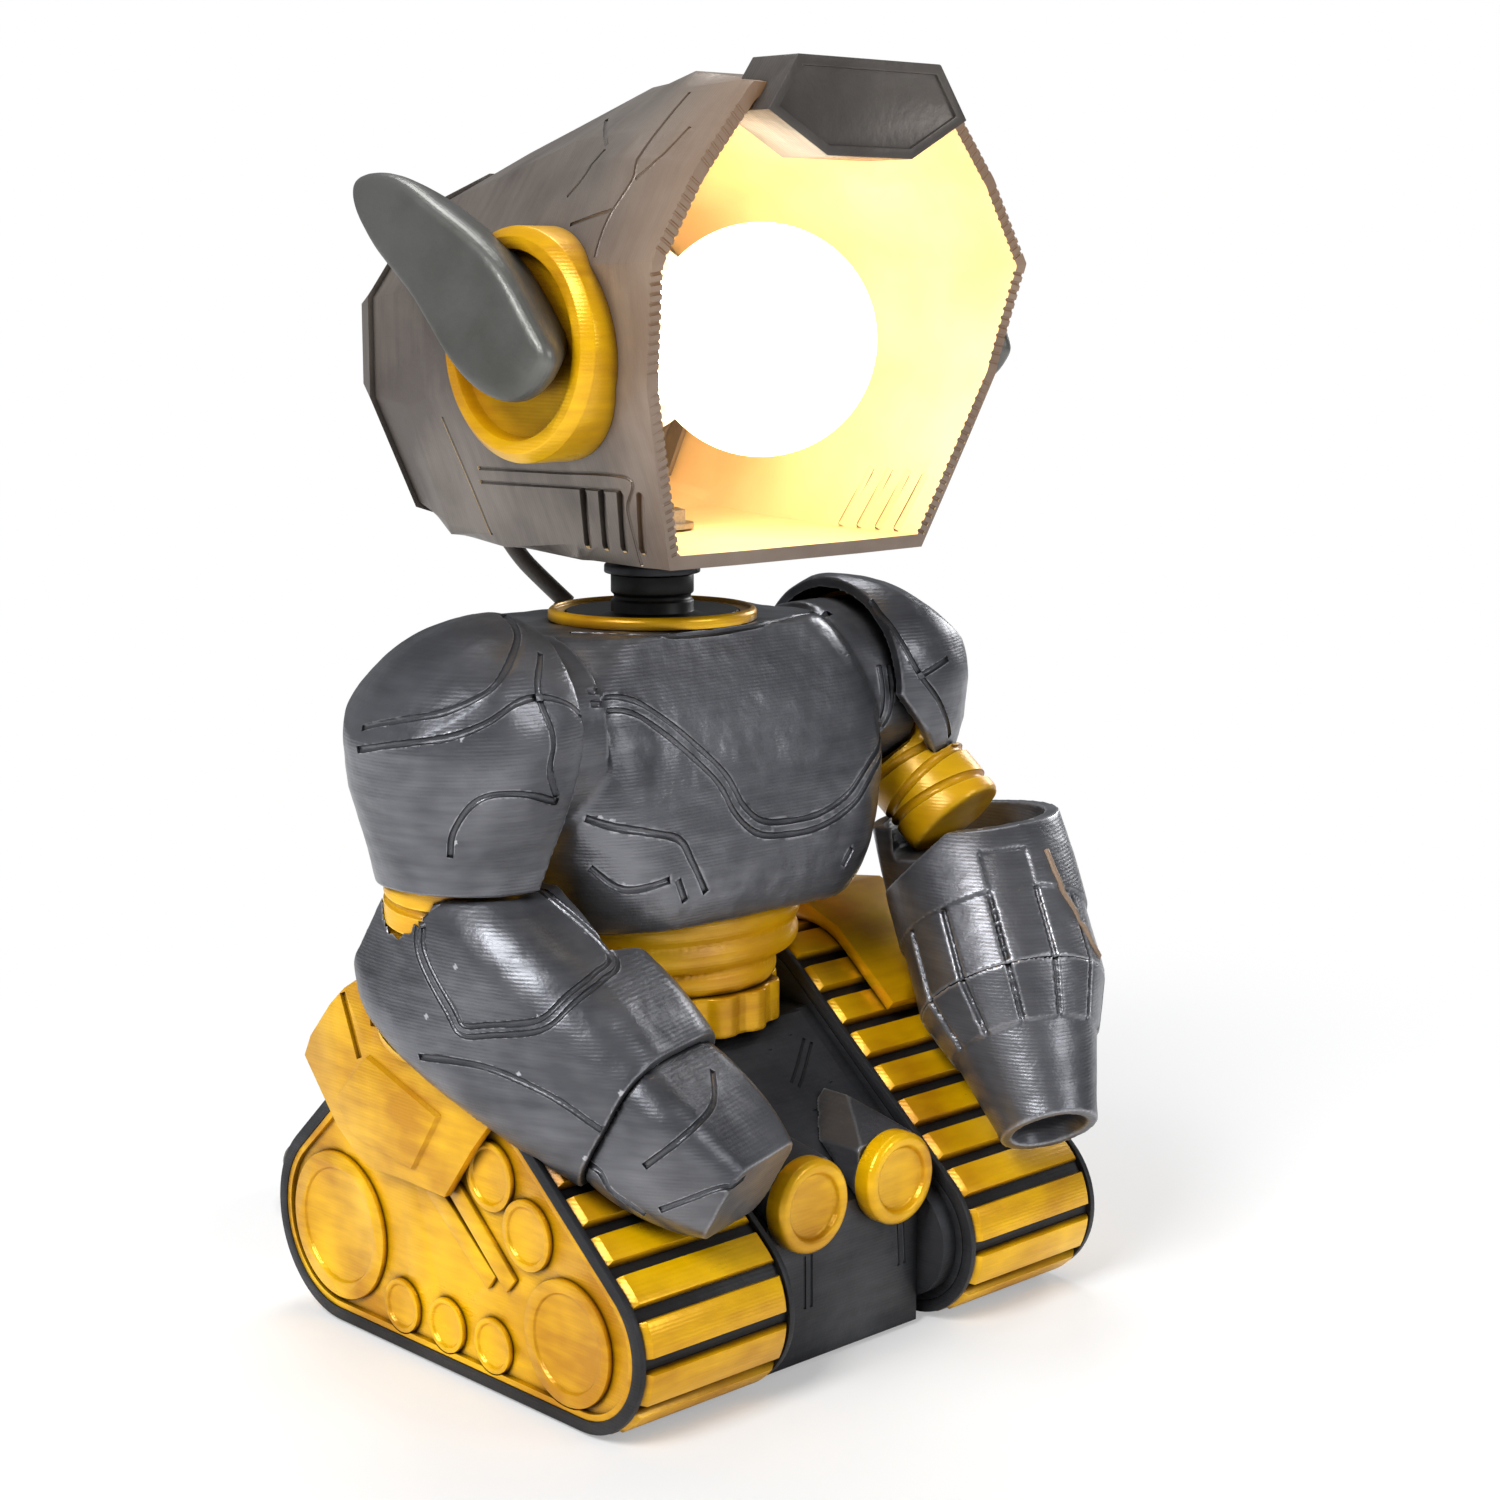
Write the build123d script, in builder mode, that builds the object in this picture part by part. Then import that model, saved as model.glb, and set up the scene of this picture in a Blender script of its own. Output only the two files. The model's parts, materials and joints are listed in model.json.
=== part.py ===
from build123d import *

import os
from math import acos, atan2, cos, degrees, hypot, radians, sin, tan

# Robot shaped desk lamp. Millimetres, +Z up. The origin is on the ground at the middle of the
# base. The robot looks along -Y, so +X is its own left and -X its own right.

os.makedirs("parts", exist_ok=True)

# ------------------------------------------------------------------ driving dimensions
# clearances
turn_gap = 0.35          # between pieces of bodies that move on each other
pin_gap = 0.05           # radial play of a pin in its hole
seat_gap = 0.05          # round a piece that is let into another of the same body

# crawler tracks: a belt round three rollers, seen from the side
front_roller_y = -53.0
front_roller_r = 23.3
rear_roller_y = 49.5
rear_roller_r = 28.5
top_roller_y = 8.0
top_roller_z = 73.5
top_roller_r = 23.9
track_inner_x = 33.4     # inner edge of the belt
track_outer_x = 85.4     # outer edge of the belt
belt_flange = 1.8        # width of the raised edge on each side of the pads
belt_flange_drop = 0.7   # how far that edge stays inside the pads
pad_height = 2.6
pad_pitch = 12.0
pad_gap = 2.6            # at the bottom of the gap between two pads
pad_bevel = 1.9
belt_base = 1.5          # belt under the pads
plate_rim = 1.7          # raised border of the side plate
plate_field_drop = 1.6   # how far the middle of the side plate is set back
plate_thick = 4.2

# road wheels on each side plate: y, z, radius
wheels = (
    (-46.8, 21.6, 16.4),
    (49.8, 27.6, 20.6),
    (21.8, 12.3, 7.4),
    (2.4, 12.3, 7.4),
    (-17.0, 12.3, 7.4),
    (-31.4, 45.6, 9.3),
    (-16.6, 57.6, 9.3),
    (43.0, 60.0, 5.4),
)
wheel_rise = 1.7         # rim of a wheel above the field of its side plate
wheel_ring = 0.24        # width of the rim as a share of the radius
wheel_dish = 0.9

# struts on each side plate: (y, z) of the two ends
rams = (
    ((-1.5, 51.2), (-25.0, 30.3)),
    ((8.2, 49.2), (-17.2, 29.2)),
)
ram_r = 2.9
ram_rise = 1.5

# mudguard over the top roller
guard_inner_x = 52.3
guard_outer_x = 88.2
guard_gap = 0.4
guard_panel_rise = 1.3
guard_pins = ((6.0, 80.0), (24.0, 68.0))
guard_pin_r = 2.5
guard_pin_x = 81.9

# hull between the tracks
hull_half = 28.4
hull_inset = 5.0         # how far its slopes lie inside the faces of the pads
hull_front_y = -60.0
hull_rear_y = 60.0
hull_wall = 3.4
deck_z = 79.4
base_gap = 1.2           # ground clearance, taken up by the rubber feet
foot_r = 7.0
base_cover_thick = 3.0
screw_r = 1.5
screw_head_r = 2.9

# headlights
light_x = 16.3
light_z = 45.3
light_front_y = -66.0
cap_r = 12.6
cap_depth = 6.0
light_tube_r = 12.0

# waist and torso, round the neck axis
neck_y = 15.0
waist_half_x = 32.9
waist_half_y = 38.0
waist_height = 15.4
bellows = (              # half width, half depth, height, from the bottom up
    (32.9, 35.6, 7.4),
    (43.6, 36.8, 7.6),
    (44.6, 37.0, 7.6),
)
chest_wall = 3.4
chest = (                # z, half width, front y, back y, corner radius
    (113.4, 49.5, -25.5, 53.0, 25.0),
    (124.0, 55.5, -28.5, 57.0, 25.0),
    (145.0, 60.8, -28.0, 59.0, 24.0),
    (164.0, 61.5, -24.0, 59.0, 22.0),
    (181.0, 56.0, -17.0, 56.5, 20.0),
    (190.2, 46.0, -13.5, 53.0, 18.0),
)
shoulder_z = 166.0
shoulder_y = {"right": 0.0, "left": 9.0}
shoulder_stub_r = 25.5
shoulder_stub_x = 75.5
peg_r = 6.0

# collar and neck
collar_r = 28.7
collar_top_z = 193.6
collar_bore_r = 24.0
dish_r = 23.6
neck_post_r = 11.4
neck_flare_r = 13.2
neck_split_z = 202.6
spigot_r = 6.0

# helmet sections: y, then (x, z) of six corners on one side, from the middle of the floor up
helmet = (
    (-74.0, (20, 210.7), (44, 210.7), (60.5, 258), (66.5, 287), (51, 307), (35.5, 326.0)),
    (-58.0, (20, 210.7), (45, 210.7), (62.0, 257), (66.5, 286), (53, 308), (34.5, 329.0)),
    (-34.0, (22, 210.7), (46, 211.0), (64.0, 256), (66.0, 285), (54, 311), (28.0, 332.5)),
    (-10.0, (22, 210.8), (46, 211.2), (65.5, 258), (64.5, 288), (46, 316), (21.0, 330.0)),
    (20.0, (22, 211.0), (47, 212.5), (64.0, 254), (63.5, 284), (46, 308), (20.0, 321.5)),
    (42.0, (22, 211.4), (48, 214.5), (62.0, 250), (61.5, 279), (45.5, 303), (19.0, 315.5)),
    (60.0, (22, 214.8), (45, 222.0), (59.0, 251), (59.0, 277), (42.0, 299), (18.5, 309.0)),
    (78.0, (16, 234.0), (38, 237.5), (49.0, 254), (49.0, 275), (33.0, 290), (14.5, 297.5)),
)
helmet_wall = 3.6
helmet_split_y = 60.0
helmet_back_step = 1.6
face_bottom_y = -43.0
face_mid_y = -60.5
face_mid_z = 285.5
face_top_y = -61.5
vent_count = 4
vent_width = 2.6
vent_height = 17.0
vent_pitch = 7.0
vent_front_y = -38.0
vent_z = 222.5
brow = ((-35.0, 321.6), (-15.0, 311.4), (15.0, 311.4), (35.0, 321.6), (25.0, 335.0), (-25.0, 335.0))
brow_front_y = -67.0
brow_depth = 16.0
brow_border = 2.6
ear_y = -16.5
ear_z = 266.0
ear_r = 28.8
ear_face_x = 73.5
ear_ring = 6.5
ear_dish = 3.4
ear_root_x = 57.0

# lamp inside the helmet, along Y
bulb_z = 266.4
bulb_y = -28.0
bulb_r = 30.0
bulb_glass = 1.2
bulb_back_y = 22.0
cap_screw_r = 13.2
cap_screw_len = 24.0
holder_r = 19.0
holder_front_y = 16.0
holder_back_y = 66.0
holder_flange_r = 26.0

# arms, from the shoulder down
dome_x = 75.0
dome_r = 32.4
dome_top = 34.0
dome_drop = 35.0
dome_wall = 3.0
dome_lean_r = 48.5       # ball that trims the outer top, so that a dome leans inwards
dome_lean_in = 12.0      # its middle, inwards of the dome's own axis
dome_lean_z = 150.0
dome_cut_x = 62.4
arm_clear_x = 76.2
elbow_right = (-78.0, 7.0, 106.0)
hand_right = (-55.0, -62.0, 65.0)
cannon_top = (83.0, -27.0, 127.0)
cannon_tip = (58.0, -81.0, 54.0)
cannon_r = 26.6
cannon_body_len = 55.0
cannon_bore_r = 9.4
cannon_mouth_r = 12.6

# leads
lead_r = 2.5
link_points = ((-12.2, 67.0, 214.1), (-9.6, 62.3, 205.5), (-5.6, 55.4, 198.0), (-2.0, 48.8, 191.6))
gland_r = 4.2
gland_len = 14.0
mains_hull_points = ((22.0, 92.0, 13.0), (22.8, 100.5, 12.2), (25.8, 110.0, 12.0), (25.3, 120.0, 12.4))
mains_middle_points = ((2.5, 90.0, 2.6), (12.5, 90.9, 2.6), (24.0, 91.9, 4.2), (35.0, 92.0, 6.5))
mains_plug_points = (
    (93.0, 92.0, 6.5), (103.0, 92.6, 4.2), (114.0, 98.5, 2.6), (119.5, 110.0, 2.6),
    (117.5, 123.0, 2.6), (109.0, 133.0, 2.6), (97.0, 139.4, 4.2), (85.2, 142.0, 7.0),
)
relief_r = 4.0
relief_from_y = 61.0
coil_middle = (-9.0, 125.0)
coil_inner_r = 21.5
coil_outer_r = 36.5
coil_height = 15.0
switch_size = (58.0, 24.0, 15.0)
rocker_half = 6.4
rocker_wide = 8.0
rocker_tilt = 8.0
rocker_gap = 0.8
plug_size = (35.0, 26.0, 14.0)
plug_pin_r = 2.4
plug_pin_len = 19.0
plug_pin_spacing = 18.6

sides = (("right", -1), ("left", 1))


def save(piece, label):
    """Name a finished piece and write it."""
    piece.part.label = label
    export_step(piece.part, f"parts/{label}.step")


# ------------------------------------------------------------------ crawler tracks
rollers = (
    (front_roller_y, front_roller_r, front_roller_r),
    (rear_roller_y, rear_roller_r, rear_roller_r),
    (top_roller_y, top_roller_z, top_roller_r),
)
belt_inset = pad_height + belt_base
plate_outer_x = track_outer_x - 0.4
plate_inner_x = plate_outer_x - plate_thick
field_x = plate_outer_x - plate_field_drop


def straight_angle(start, end):
    """Angle of the outward normal of the straight run that touches two rollers."""
    reach = hypot(end[0] - start[0], end[1] - start[1])
    heading = atan2(end[1] - start[1], end[0] - start[0])
    return degrees(heading - acos((start[2] - end[2]) / reach))


def track_face(inset):
    """Side view of what the belt encloses, inset from the face of the pads. X is y, Y is z."""
    count = len(rollers)
    normals = [straight_angle(rollers[k], rollers[(k + 1) % count]) for k in range(count)]
    with BuildSketch() as outline:
        with BuildLine():
            corners = []
            for k, (y, z, radius) in enumerate(rollers):
                first = normals[k - 1]
                sweep_angle = (normals[k] - first) % 360
                corners.append(CenterArc((y, z), radius - inset, first, sweep_angle))
            for k in range(count):
                Line(corners[k] @ 1, corners[(k + 1) % count] @ 0)
        make_face()
    return outline.sketch


def pad_gaps():
    """Places of the gaps between pads, evenly along the belt, in the side view."""
    path = track_face(pad_height).wire()
    count = round(path.length / pad_pitch)
    places = []
    for k in range(count):
        along = path.length * (k + 0.5) / count
        spot = path.position_at(along, PositionMode.LENGTH)
        way = path.tangent_at(along, PositionMode.LENGTH)
        places.append(Location((spot.X, spot.Y, 0), (0, 0, degrees(atan2(way.Y, way.X)))))
    return places


for side, sign in sides:
    pads_from = sign * (track_inner_x + belt_flange)
    pads_width = track_outer_x - track_inner_x - 2 * belt_flange

    with BuildPart() as track_belt:
        with BuildSketch(Plane.YZ.offset(sign * track_inner_x)):
            add(track_face(belt_flange_drop))
            add(track_face(belt_inset), mode=Mode.SUBTRACT)
        extrude(amount=sign * (track_outer_x - track_inner_x))
        with BuildSketch(Plane.YZ.offset(pads_from)):
            add(track_face(-1))
            add(track_face(pad_height), mode=Mode.SUBTRACT)
        extrude(amount=sign * pads_width, mode=Mode.SUBTRACT)
    save(track_belt, f"track_belt_{side}")

    with BuildPart() as track_pads:
        with BuildSketch(Plane.YZ.offset(pads_from + sign * seat_gap)):
            add(track_face(0))
            add(track_face(pad_height - 0.01), mode=Mode.SUBTRACT)
        extrude(amount=sign * (pads_width - 2 * seat_gap))
        ends = track_pads.faces().filter_by(Axis.X).sort_by(Axis.X)
        rims = ends[0].outer_wire().edges() + ends[-1].outer_wire().edges()
        chamfer(rims, pad_bevel)
        with BuildSketch(Plane.YZ.offset(pads_from - sign)):
            with Locations(*pad_gaps()):
                Polygon(
                    (-pad_gap / 2 - 1.2, -pad_height - 1), (pad_gap / 2 + 1.2, -pad_height - 1),
                    (pad_gap / 2, 1), (-pad_gap / 2, 1), align=None,
                )
        extrude(amount=sign * (pads_width + 2), mode=Mode.SUBTRACT)
    save(track_pads, f"track_pads_{side}")

    with BuildPart() as side_plate:
        with BuildSketch(Plane.YZ.offset(sign * plate_inner_x)):
            add(track_face(belt_inset + seat_gap))
        extrude(amount=sign * plate_thick)
        with BuildSketch(Plane.YZ.offset(sign * field_x)):
            add(track_face(belt_inset + plate_rim))
            for y, z, radius in wheels:
                with Locations((y, z)):
                    Circle(radius + 0.2)
        extrude(amount=sign * (plate_field_drop + 1), mode=Mode.SUBTRACT)
        with BuildSketch(Plane.YZ.offset(sign * field_x)):
            for y, z, radius in wheels:
                with Locations((y, z)):
                    Circle(radius * 0.3 + pin_gap)
            with Locations(*guard_pins):
                Circle(guard_pin_r + pin_gap)
        extrude(amount=-sign * 2, mode=Mode.SUBTRACT)
    save(side_plate, f"side_plate_{side}")

    with BuildPart() as road_wheels:
        for y, z, radius in wheels:
            ring = radius * wheel_ring
            with BuildSketch(Plane.YZ.offset(sign * field_x)):
                with Locations((y, z)):
                    Circle(radius)
            extrude(amount=sign * wheel_rise)
            with BuildSketch(Plane.YZ.offset(sign * (field_x + wheel_rise - wheel_dish))):
                with Locations((y, z)):
                    Circle(radius - ring)
            extrude(amount=sign * (wheel_dish + 1), taper=-20, mode=Mode.SUBTRACT)
            with BuildSketch(Plane.YZ.offset(sign * field_x)):
                with Locations((y, z)):
                    Circle(radius * 0.3)
            extrude(amount=-sign * 1.8)
    save(road_wheels, f"road_wheels_{side}")

with BuildPart() as track_frames:
    for side, sign in sides:
        with BuildSketch(Plane.YZ.offset(sign * (hull_half + seat_gap))):
            add(track_face(belt_inset + 2.4))
            with Locations((0, deck_z)):
                Rectangle(300, 60, align=(Align.CENTER, Align.MIN), mode=Mode.SUBTRACT)
        extrude(amount=sign * (track_inner_x - hull_half))
        with BuildSketch(Plane.YZ.offset(sign * track_inner_x)):
            add(track_face(belt_inset + seat_gap))
        extrude(amount=sign * (plate_inner_x - seat_gap - track_inner_x))
save(track_frames, "track_frames")

with BuildPart() as track_rams:
    for side, sign in sides:
        for (y0, z0), (y1, z1) in rams:
            with BuildSketch(Plane.YZ.offset(sign * field_x)):
                with Locations(Location((y0, z0, 0), (0, 0, degrees(atan2(z1 - z0, y1 - y0))))):
                    Rectangle(hypot(y1 - y0, z1 - z0), 2 * ram_r, align=(Align.MIN, Align.CENTER))
            extrude(amount=sign * ram_rise)
save(track_rams, "track_rams")

# ------------------------------------------------------------------ mudguards
guard_outline = (
    (-2.5, 49.4), (-14.3, 64.7), (-27.9, 79.9), (-6.0, 98.0), (12.0, 105.0), (29.3, 102.8), (39.6, 96.8),
    (46.3, 91.1), (55.8, 80.5), (58.9, 74.4), (54.1, 68.8), (44.3, 57.6), (36.7, 52.5), (29.3, 49.7), (13.7, 49.9),
)
guard_panel = ((28.8, 80.7), (43.8, 65.8), (36.0, 57.0), (9.6, 53.9), (-2.0, 71.0))
guard_slots = (((40.4, 95.4), (33.4, 78.8)), ((28.1, 99.4), (26.7, 88.8)))
skirt_x = track_outer_x + guard_gap


def guard_face(grow):
    """Side view of the mudguard before the track is cut out of it."""
    with BuildSketch() as outline:
        Polygon(*guard_outline, align=None)
        if grow:
            offset(amount=grow)
    return outline.sketch


for side, sign in sides:
    with BuildPart() as mudguard:
        with BuildSketch(Plane.YZ.offset(sign * guard_inner_x)):
            add(guard_face(0))
        extrude(amount=sign * (guard_outer_x - guard_inner_x))
        with BuildSketch(Plane.YZ.offset(sign * guard_outer_x)):
            Polygon(*guard_panel, align=None)
        extrude(amount=sign * guard_panel_rise, taper=20)
        with BuildSketch(Plane.YZ.offset(sign * (guard_inner_x - 1))):
            add(track_face(-guard_gap))
        extrude(amount=sign * (skirt_x - guard_inner_x + 1), mode=Mode.SUBTRACT)
        for (y0, z0), (y1, z1) in guard_slots:
            with BuildSketch(Plane.YZ.offset(sign * (guard_outer_x - 1.2))):
                with Locations(Location((y0, z0, 0), (0, 0, degrees(atan2(z1 - z0, y1 - y0))))):
                    Rectangle(hypot(y1 - y0, z1 - z0), 2.6, align=(Align.MIN, Align.CENTER))
            extrude(amount=sign * 3, mode=Mode.SUBTRACT)
        with BuildSketch(Plane.YZ.offset(sign * guard_pin_x)):
            with Locations(*guard_pins):
                Circle(guard_pin_r)
        extrude(amount=sign * (skirt_x - guard_pin_x + 0.5))
    save(mudguard, f"mudguard_{side}")

# ------------------------------------------------------------------ hull and what it stands on


def hull_face(inset):
    """Side view of the hull. X is y, Y is z."""
    with BuildSketch() as outline:
        add(track_face(hull_inset + inset))
        with Locations((hull_front_y + inset, 0)):
            Rectangle(60, 200, align=(Align.MAX, Align.CENTER), mode=Mode.SUBTRACT)
        with Locations(((hull_front_y + hull_rear_y) / 2, base_gap + inset)):
            Rectangle(hull_rear_y - hull_front_y - 2 * inset, 24, align=(Align.CENTER, Align.MIN))
        with Locations((0, deck_z - inset)):
            Rectangle(300, 60, align=(Align.CENTER, Align.MIN), mode=Mode.SUBTRACT)
    return outline.sketch


cover_half = 24.0
cover_front_y = -52.0
cover_rear_y = 54.0
cover_screws = ((-18.0, -45.0), (18.0, -45.0), (-18.0, 47.0), (18.0, 47.0))
cover_seat_z = base_gap + base_cover_thick
screw_post_r = 4.0
screw_post_height = 14.0
screw_len = 9.0

with BuildPart() as hull_block:
    with BuildSketch(Plane.YZ.offset(-hull_half)):
        add(hull_face(0))
    extrude(amount=2 * hull_half)
hull_solid = hull_block.part

mains_x, mains_y, mains_z = mains_hull_points[0]
with BuildPart() as hull:
    add(hull_solid)
    with BuildSketch(Plane.YZ.offset(hull_wall - hull_half)):
        add(hull_face(hull_wall))
    extrude(amount=2 * (hull_half - hull_wall), mode=Mode.SUBTRACT)
    with Locations((0, (cover_front_y + cover_rear_y) / 2, base_gap - 1)):
        Box(
            2 * cover_half, cover_rear_y - cover_front_y, base_cover_thick + 1,
            align=(Align.CENTER, Align.CENTER, Align.MIN), mode=Mode.SUBTRACT,
        )
        Box(
            2 * cover_half - 5, cover_rear_y - cover_front_y - 5, 12,
            align=(Align.CENTER, Align.CENTER, Align.MIN), mode=Mode.SUBTRACT,
        )
    with BuildSketch(Plane.XY.offset(cover_seat_z)):
        with Locations(*cover_screws):
            Circle(screw_post_r)
    extrude(amount=screw_post_height)
    with BuildSketch(Plane.XY.offset(cover_seat_z)):
        with Locations(*cover_screws):
            Circle(screw_r)
    extrude(amount=screw_len, mode=Mode.SUBTRACT)
    with BuildSketch(Plane.XY.offset(deck_z - 10)):
        with Locations((0, neck_y)):
            Circle(16)
    extrude(amount=20, mode=Mode.SUBTRACT)
    with BuildSketch(Plane.XZ.offset(-relief_from_y + 8)):
        with Locations((mains_x, mains_z)):
            Circle(relief_r + pin_gap)
    extrude(amount=-30, mode=Mode.SUBTRACT)
save(hull, "hull")

with BuildPart() as base_cover:
    with Locations((0, (cover_front_y + cover_rear_y) / 2, base_gap)):
        Box(
            2 * (cover_half - seat_gap), cover_rear_y - cover_front_y - 2 * seat_gap, base_cover_thick,
            align=(Align.CENTER, Align.CENTER, Align.MIN),
        )
    with BuildSketch(Plane.XY.offset(base_gap)):
        with Locations(*cover_screws):
            Circle(screw_head_r + seat_gap)
    extrude(amount=1.6, mode=Mode.SUBTRACT)
    with BuildSketch(Plane.XY.offset(base_gap)):
        with Locations(*cover_screws):
            Circle(screw_r + pin_gap)
    extrude(amount=base_cover_thick, mode=Mode.SUBTRACT)
save(base_cover, "base_cover")

with BuildPart() as cover_screw_set:
    with BuildSketch(Plane.XY.offset(base_gap)):
        with Locations(*cover_screws):
            Circle(screw_head_r)
    extrude(amount=1.6)
    with BuildSketch(Plane.XY.offset(base_gap)):
        with Locations(*cover_screws):
            Circle(screw_r - 0.01)
    extrude(amount=base_cover_thick + screw_len - 1)
    with BuildSketch(Plane.XY.offset(base_gap)):
        with Locations(*cover_screws):
            Rectangle(3.4, 0.8)
            Rectangle(0.8, 3.4)
    extrude(amount=0.9, mode=Mode.SUBTRACT)
save(cover_screw_set, "cover_screws")

feet = ((0.0, 0.0), (-14.0, -32.0), (14.0, -32.0), (-14.0, 34.0), (14.0, 34.0))
with BuildPart() as rubber_feet:
    with BuildSketch():
        with Locations(*feet):
            Circle(foot_r)
    extrude(amount=base_gap)
save(rubber_feet, "rubber_feet")

# ------------------------------------------------------------------ headlights
light_reach = 24.0
light_spots = ((light_x, light_z), (-light_x, light_z))
housing_front_y = light_front_y + cap_depth
with BuildPart() as headlight_housings:
    with BuildSketch(Plane.XZ.offset(-housing_front_y)):
        with Locations(*light_spots):
            Circle(light_tube_r)
            Polygon(
                (1 - light_tube_r, 4), (light_tube_r - 1, 4), (light_tube_r - 1, 9), (0, 19), (1 - light_tube_r, 9),
                align=None,
            )
    extrude(amount=-light_reach)
    with BuildSketch(Plane.YZ.offset(-hull_half)):
        Polygon(
            (housing_front_y - 5, light_z + 10), (housing_front_y, light_z + 10),
            (housing_front_y + 30, light_z + 28), (housing_front_y - 5, light_z + 28), align=None,
        )
    extrude(amount=2 * hull_half, mode=Mode.SUBTRACT)
    add(hull_solid, mode=Mode.SUBTRACT)
save(headlight_housings, "headlight_housings")

with BuildPart() as headlight_caps:
    with BuildSketch(Plane.XZ.offset(-light_front_y)):
        with Locations(*light_spots):
            Circle(cap_r)
    extrude(amount=-cap_depth)
    chamfer(headlight_caps.edges().group_by(Axis.Y)[0], 1.2)
    with BuildSketch(Plane.XZ.offset(-light_front_y)):
        with Locations(*light_spots):
            Circle(cap_r - 3.4)
    extrude(amount=-1.8, taper=25, mode=Mode.SUBTRACT)
save(headlight_caps, "headlight_caps")

# ------------------------------------------------------------------ waist
flute_count = 16
with BuildPart() as waist_belt:
    with BuildSketch(Plane.XY.offset(deck_z)):
        with Locations((0, neck_y)):
            Ellipse(waist_half_x - 2.0, waist_half_y - 2.0)
            for k in range(flute_count):
                turn = radians(360 * (k + 0.5) / flute_count)
                with Locations(((waist_half_x - 6.2) * cos(turn), (waist_half_y - 6.2) * sin(turn))):
                    Circle(6.0)
    extrude(amount=waist_height - 4)
    with BuildSketch(Plane.XY.offset(deck_z)):
        with Locations((0, neck_y)):
            Circle(20)
    extrude(amount=waist_height, mode=Mode.SUBTRACT)
save(waist_belt, "waist_belt")

with BuildPart() as waist_bellows:
    floor_z = deck_z + waist_height - 4
    for half_x, half_y, height in bellows:
        with BuildSketch(Plane.XY.offset(floor_z)):
            with Locations((0, neck_y)):
                Ellipse(half_x - 1.6, half_y - 1.6)
        with BuildSketch(Plane.XY.offset(floor_z + height * 0.45)):
            with Locations((0, neck_y)):
                Ellipse(half_x, half_y)
        with BuildSketch(Plane.XY.offset(floor_z + height)):
            with Locations((0, neck_y)):
                Ellipse(half_x - 1.6, half_y - 1.6)
        loft()
        floor_z = floor_z + height
    with BuildSketch(Plane.XY.offset(deck_z)):
        with Locations((0, neck_y)):
            Circle(20)
    extrude(amount=60, mode=Mode.SUBTRACT)
save(waist_bellows, "waist_bellows")

# ------------------------------------------------------------------ torso
def chest_face(level, inset):
    """One level section of the torso."""
    z, half, front, back, corner = level
    with BuildSketch() as outline:
        with Locations((0, (front + back) / 2)):
            RectangleRounded(2 * (half - inset), back - front - 2 * inset, corner - inset)
    return outline.sketch


stub_bore_r = peg_r + pin_gap
peg_flange_x = 51.5
peg_flange_thick = 2.2
boss_x = peg_flange_x + peg_flange_thick + turn_gap
stem_r = 8.0
grommet_x, grommet_y, grommet_z = link_points[-1]
grommet_r = 4.0
chest_top_z = chest[-1][0]

with BuildPart() as chest_shell:
    for level in chest:
        with BuildSketch(Plane.XY.offset(level[0])):
            add(chest_face(level, 0))
    loft()
    for side, sign in sides:
        with BuildSketch(Plane.YZ.offset(sign * 50)):
            with Locations((shoulder_y[side], shoulder_z)):
                Circle(shoulder_stub_r)
        extrude(amount=sign * (shoulder_stub_x - 50))
    for level in chest:
        drop = -1 if level is chest[0] else 0
        lower = chest_wall if level is chest[-1] else 0
        with BuildSketch(Plane.XY.offset(level[0] + drop - lower)):
            add(chest_face(level, chest_wall))
    loft(mode=Mode.SUBTRACT)
    for side, sign in sides:
        with BuildSketch(Plane.YZ.offset(sign * boss_x)):
            with Locations((shoulder_y[side], shoulder_z)):
                Circle(12)
        extrude(amount=sign * 8)
        with BuildSketch(Plane.YZ.offset(sign * 45)):
            with Locations((shoulder_y[side], shoulder_z)):
                Circle(stub_bore_r)
        extrude(amount=sign * 40, mode=Mode.SUBTRACT)
    with BuildSketch(Plane.XY.offset(chest_top_z - 10)):
        with Locations((0, neck_y)):
            Circle(stem_r + pin_gap)
    extrude(amount=20, mode=Mode.SUBTRACT)
    with BuildSketch(Plane.XY.offset(chest_top_z - 10)):
        with Locations((grommet_x, grommet_y)):
            Circle(grommet_r - 0.6)
    extrude(amount=20, mode=Mode.SUBTRACT)
save(chest_shell, "chest_shell")

# ------------------------------------------------------------------ collar and neck
with BuildPart() as collar_ring:
    with BuildSketch(Plane.XY.offset(chest_top_z)):
        with Locations((0, neck_y)):
            Circle(collar_r)
            Circle(collar_bore_r, mode=Mode.SUBTRACT)
    extrude(amount=collar_top_z - chest_top_z)
    chamfer(collar_ring.edges().group_by(Axis.Z)[-1], 0.9)
    with BuildSketch(Plane.XY.offset(collar_top_z - 1.2)):
        with Locations((0, neck_y)):
            Circle(collar_r - 1.8)
    extrude(amount=5, mode=Mode.SUBTRACT)
save(collar_ring, "collar_ring")

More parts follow.
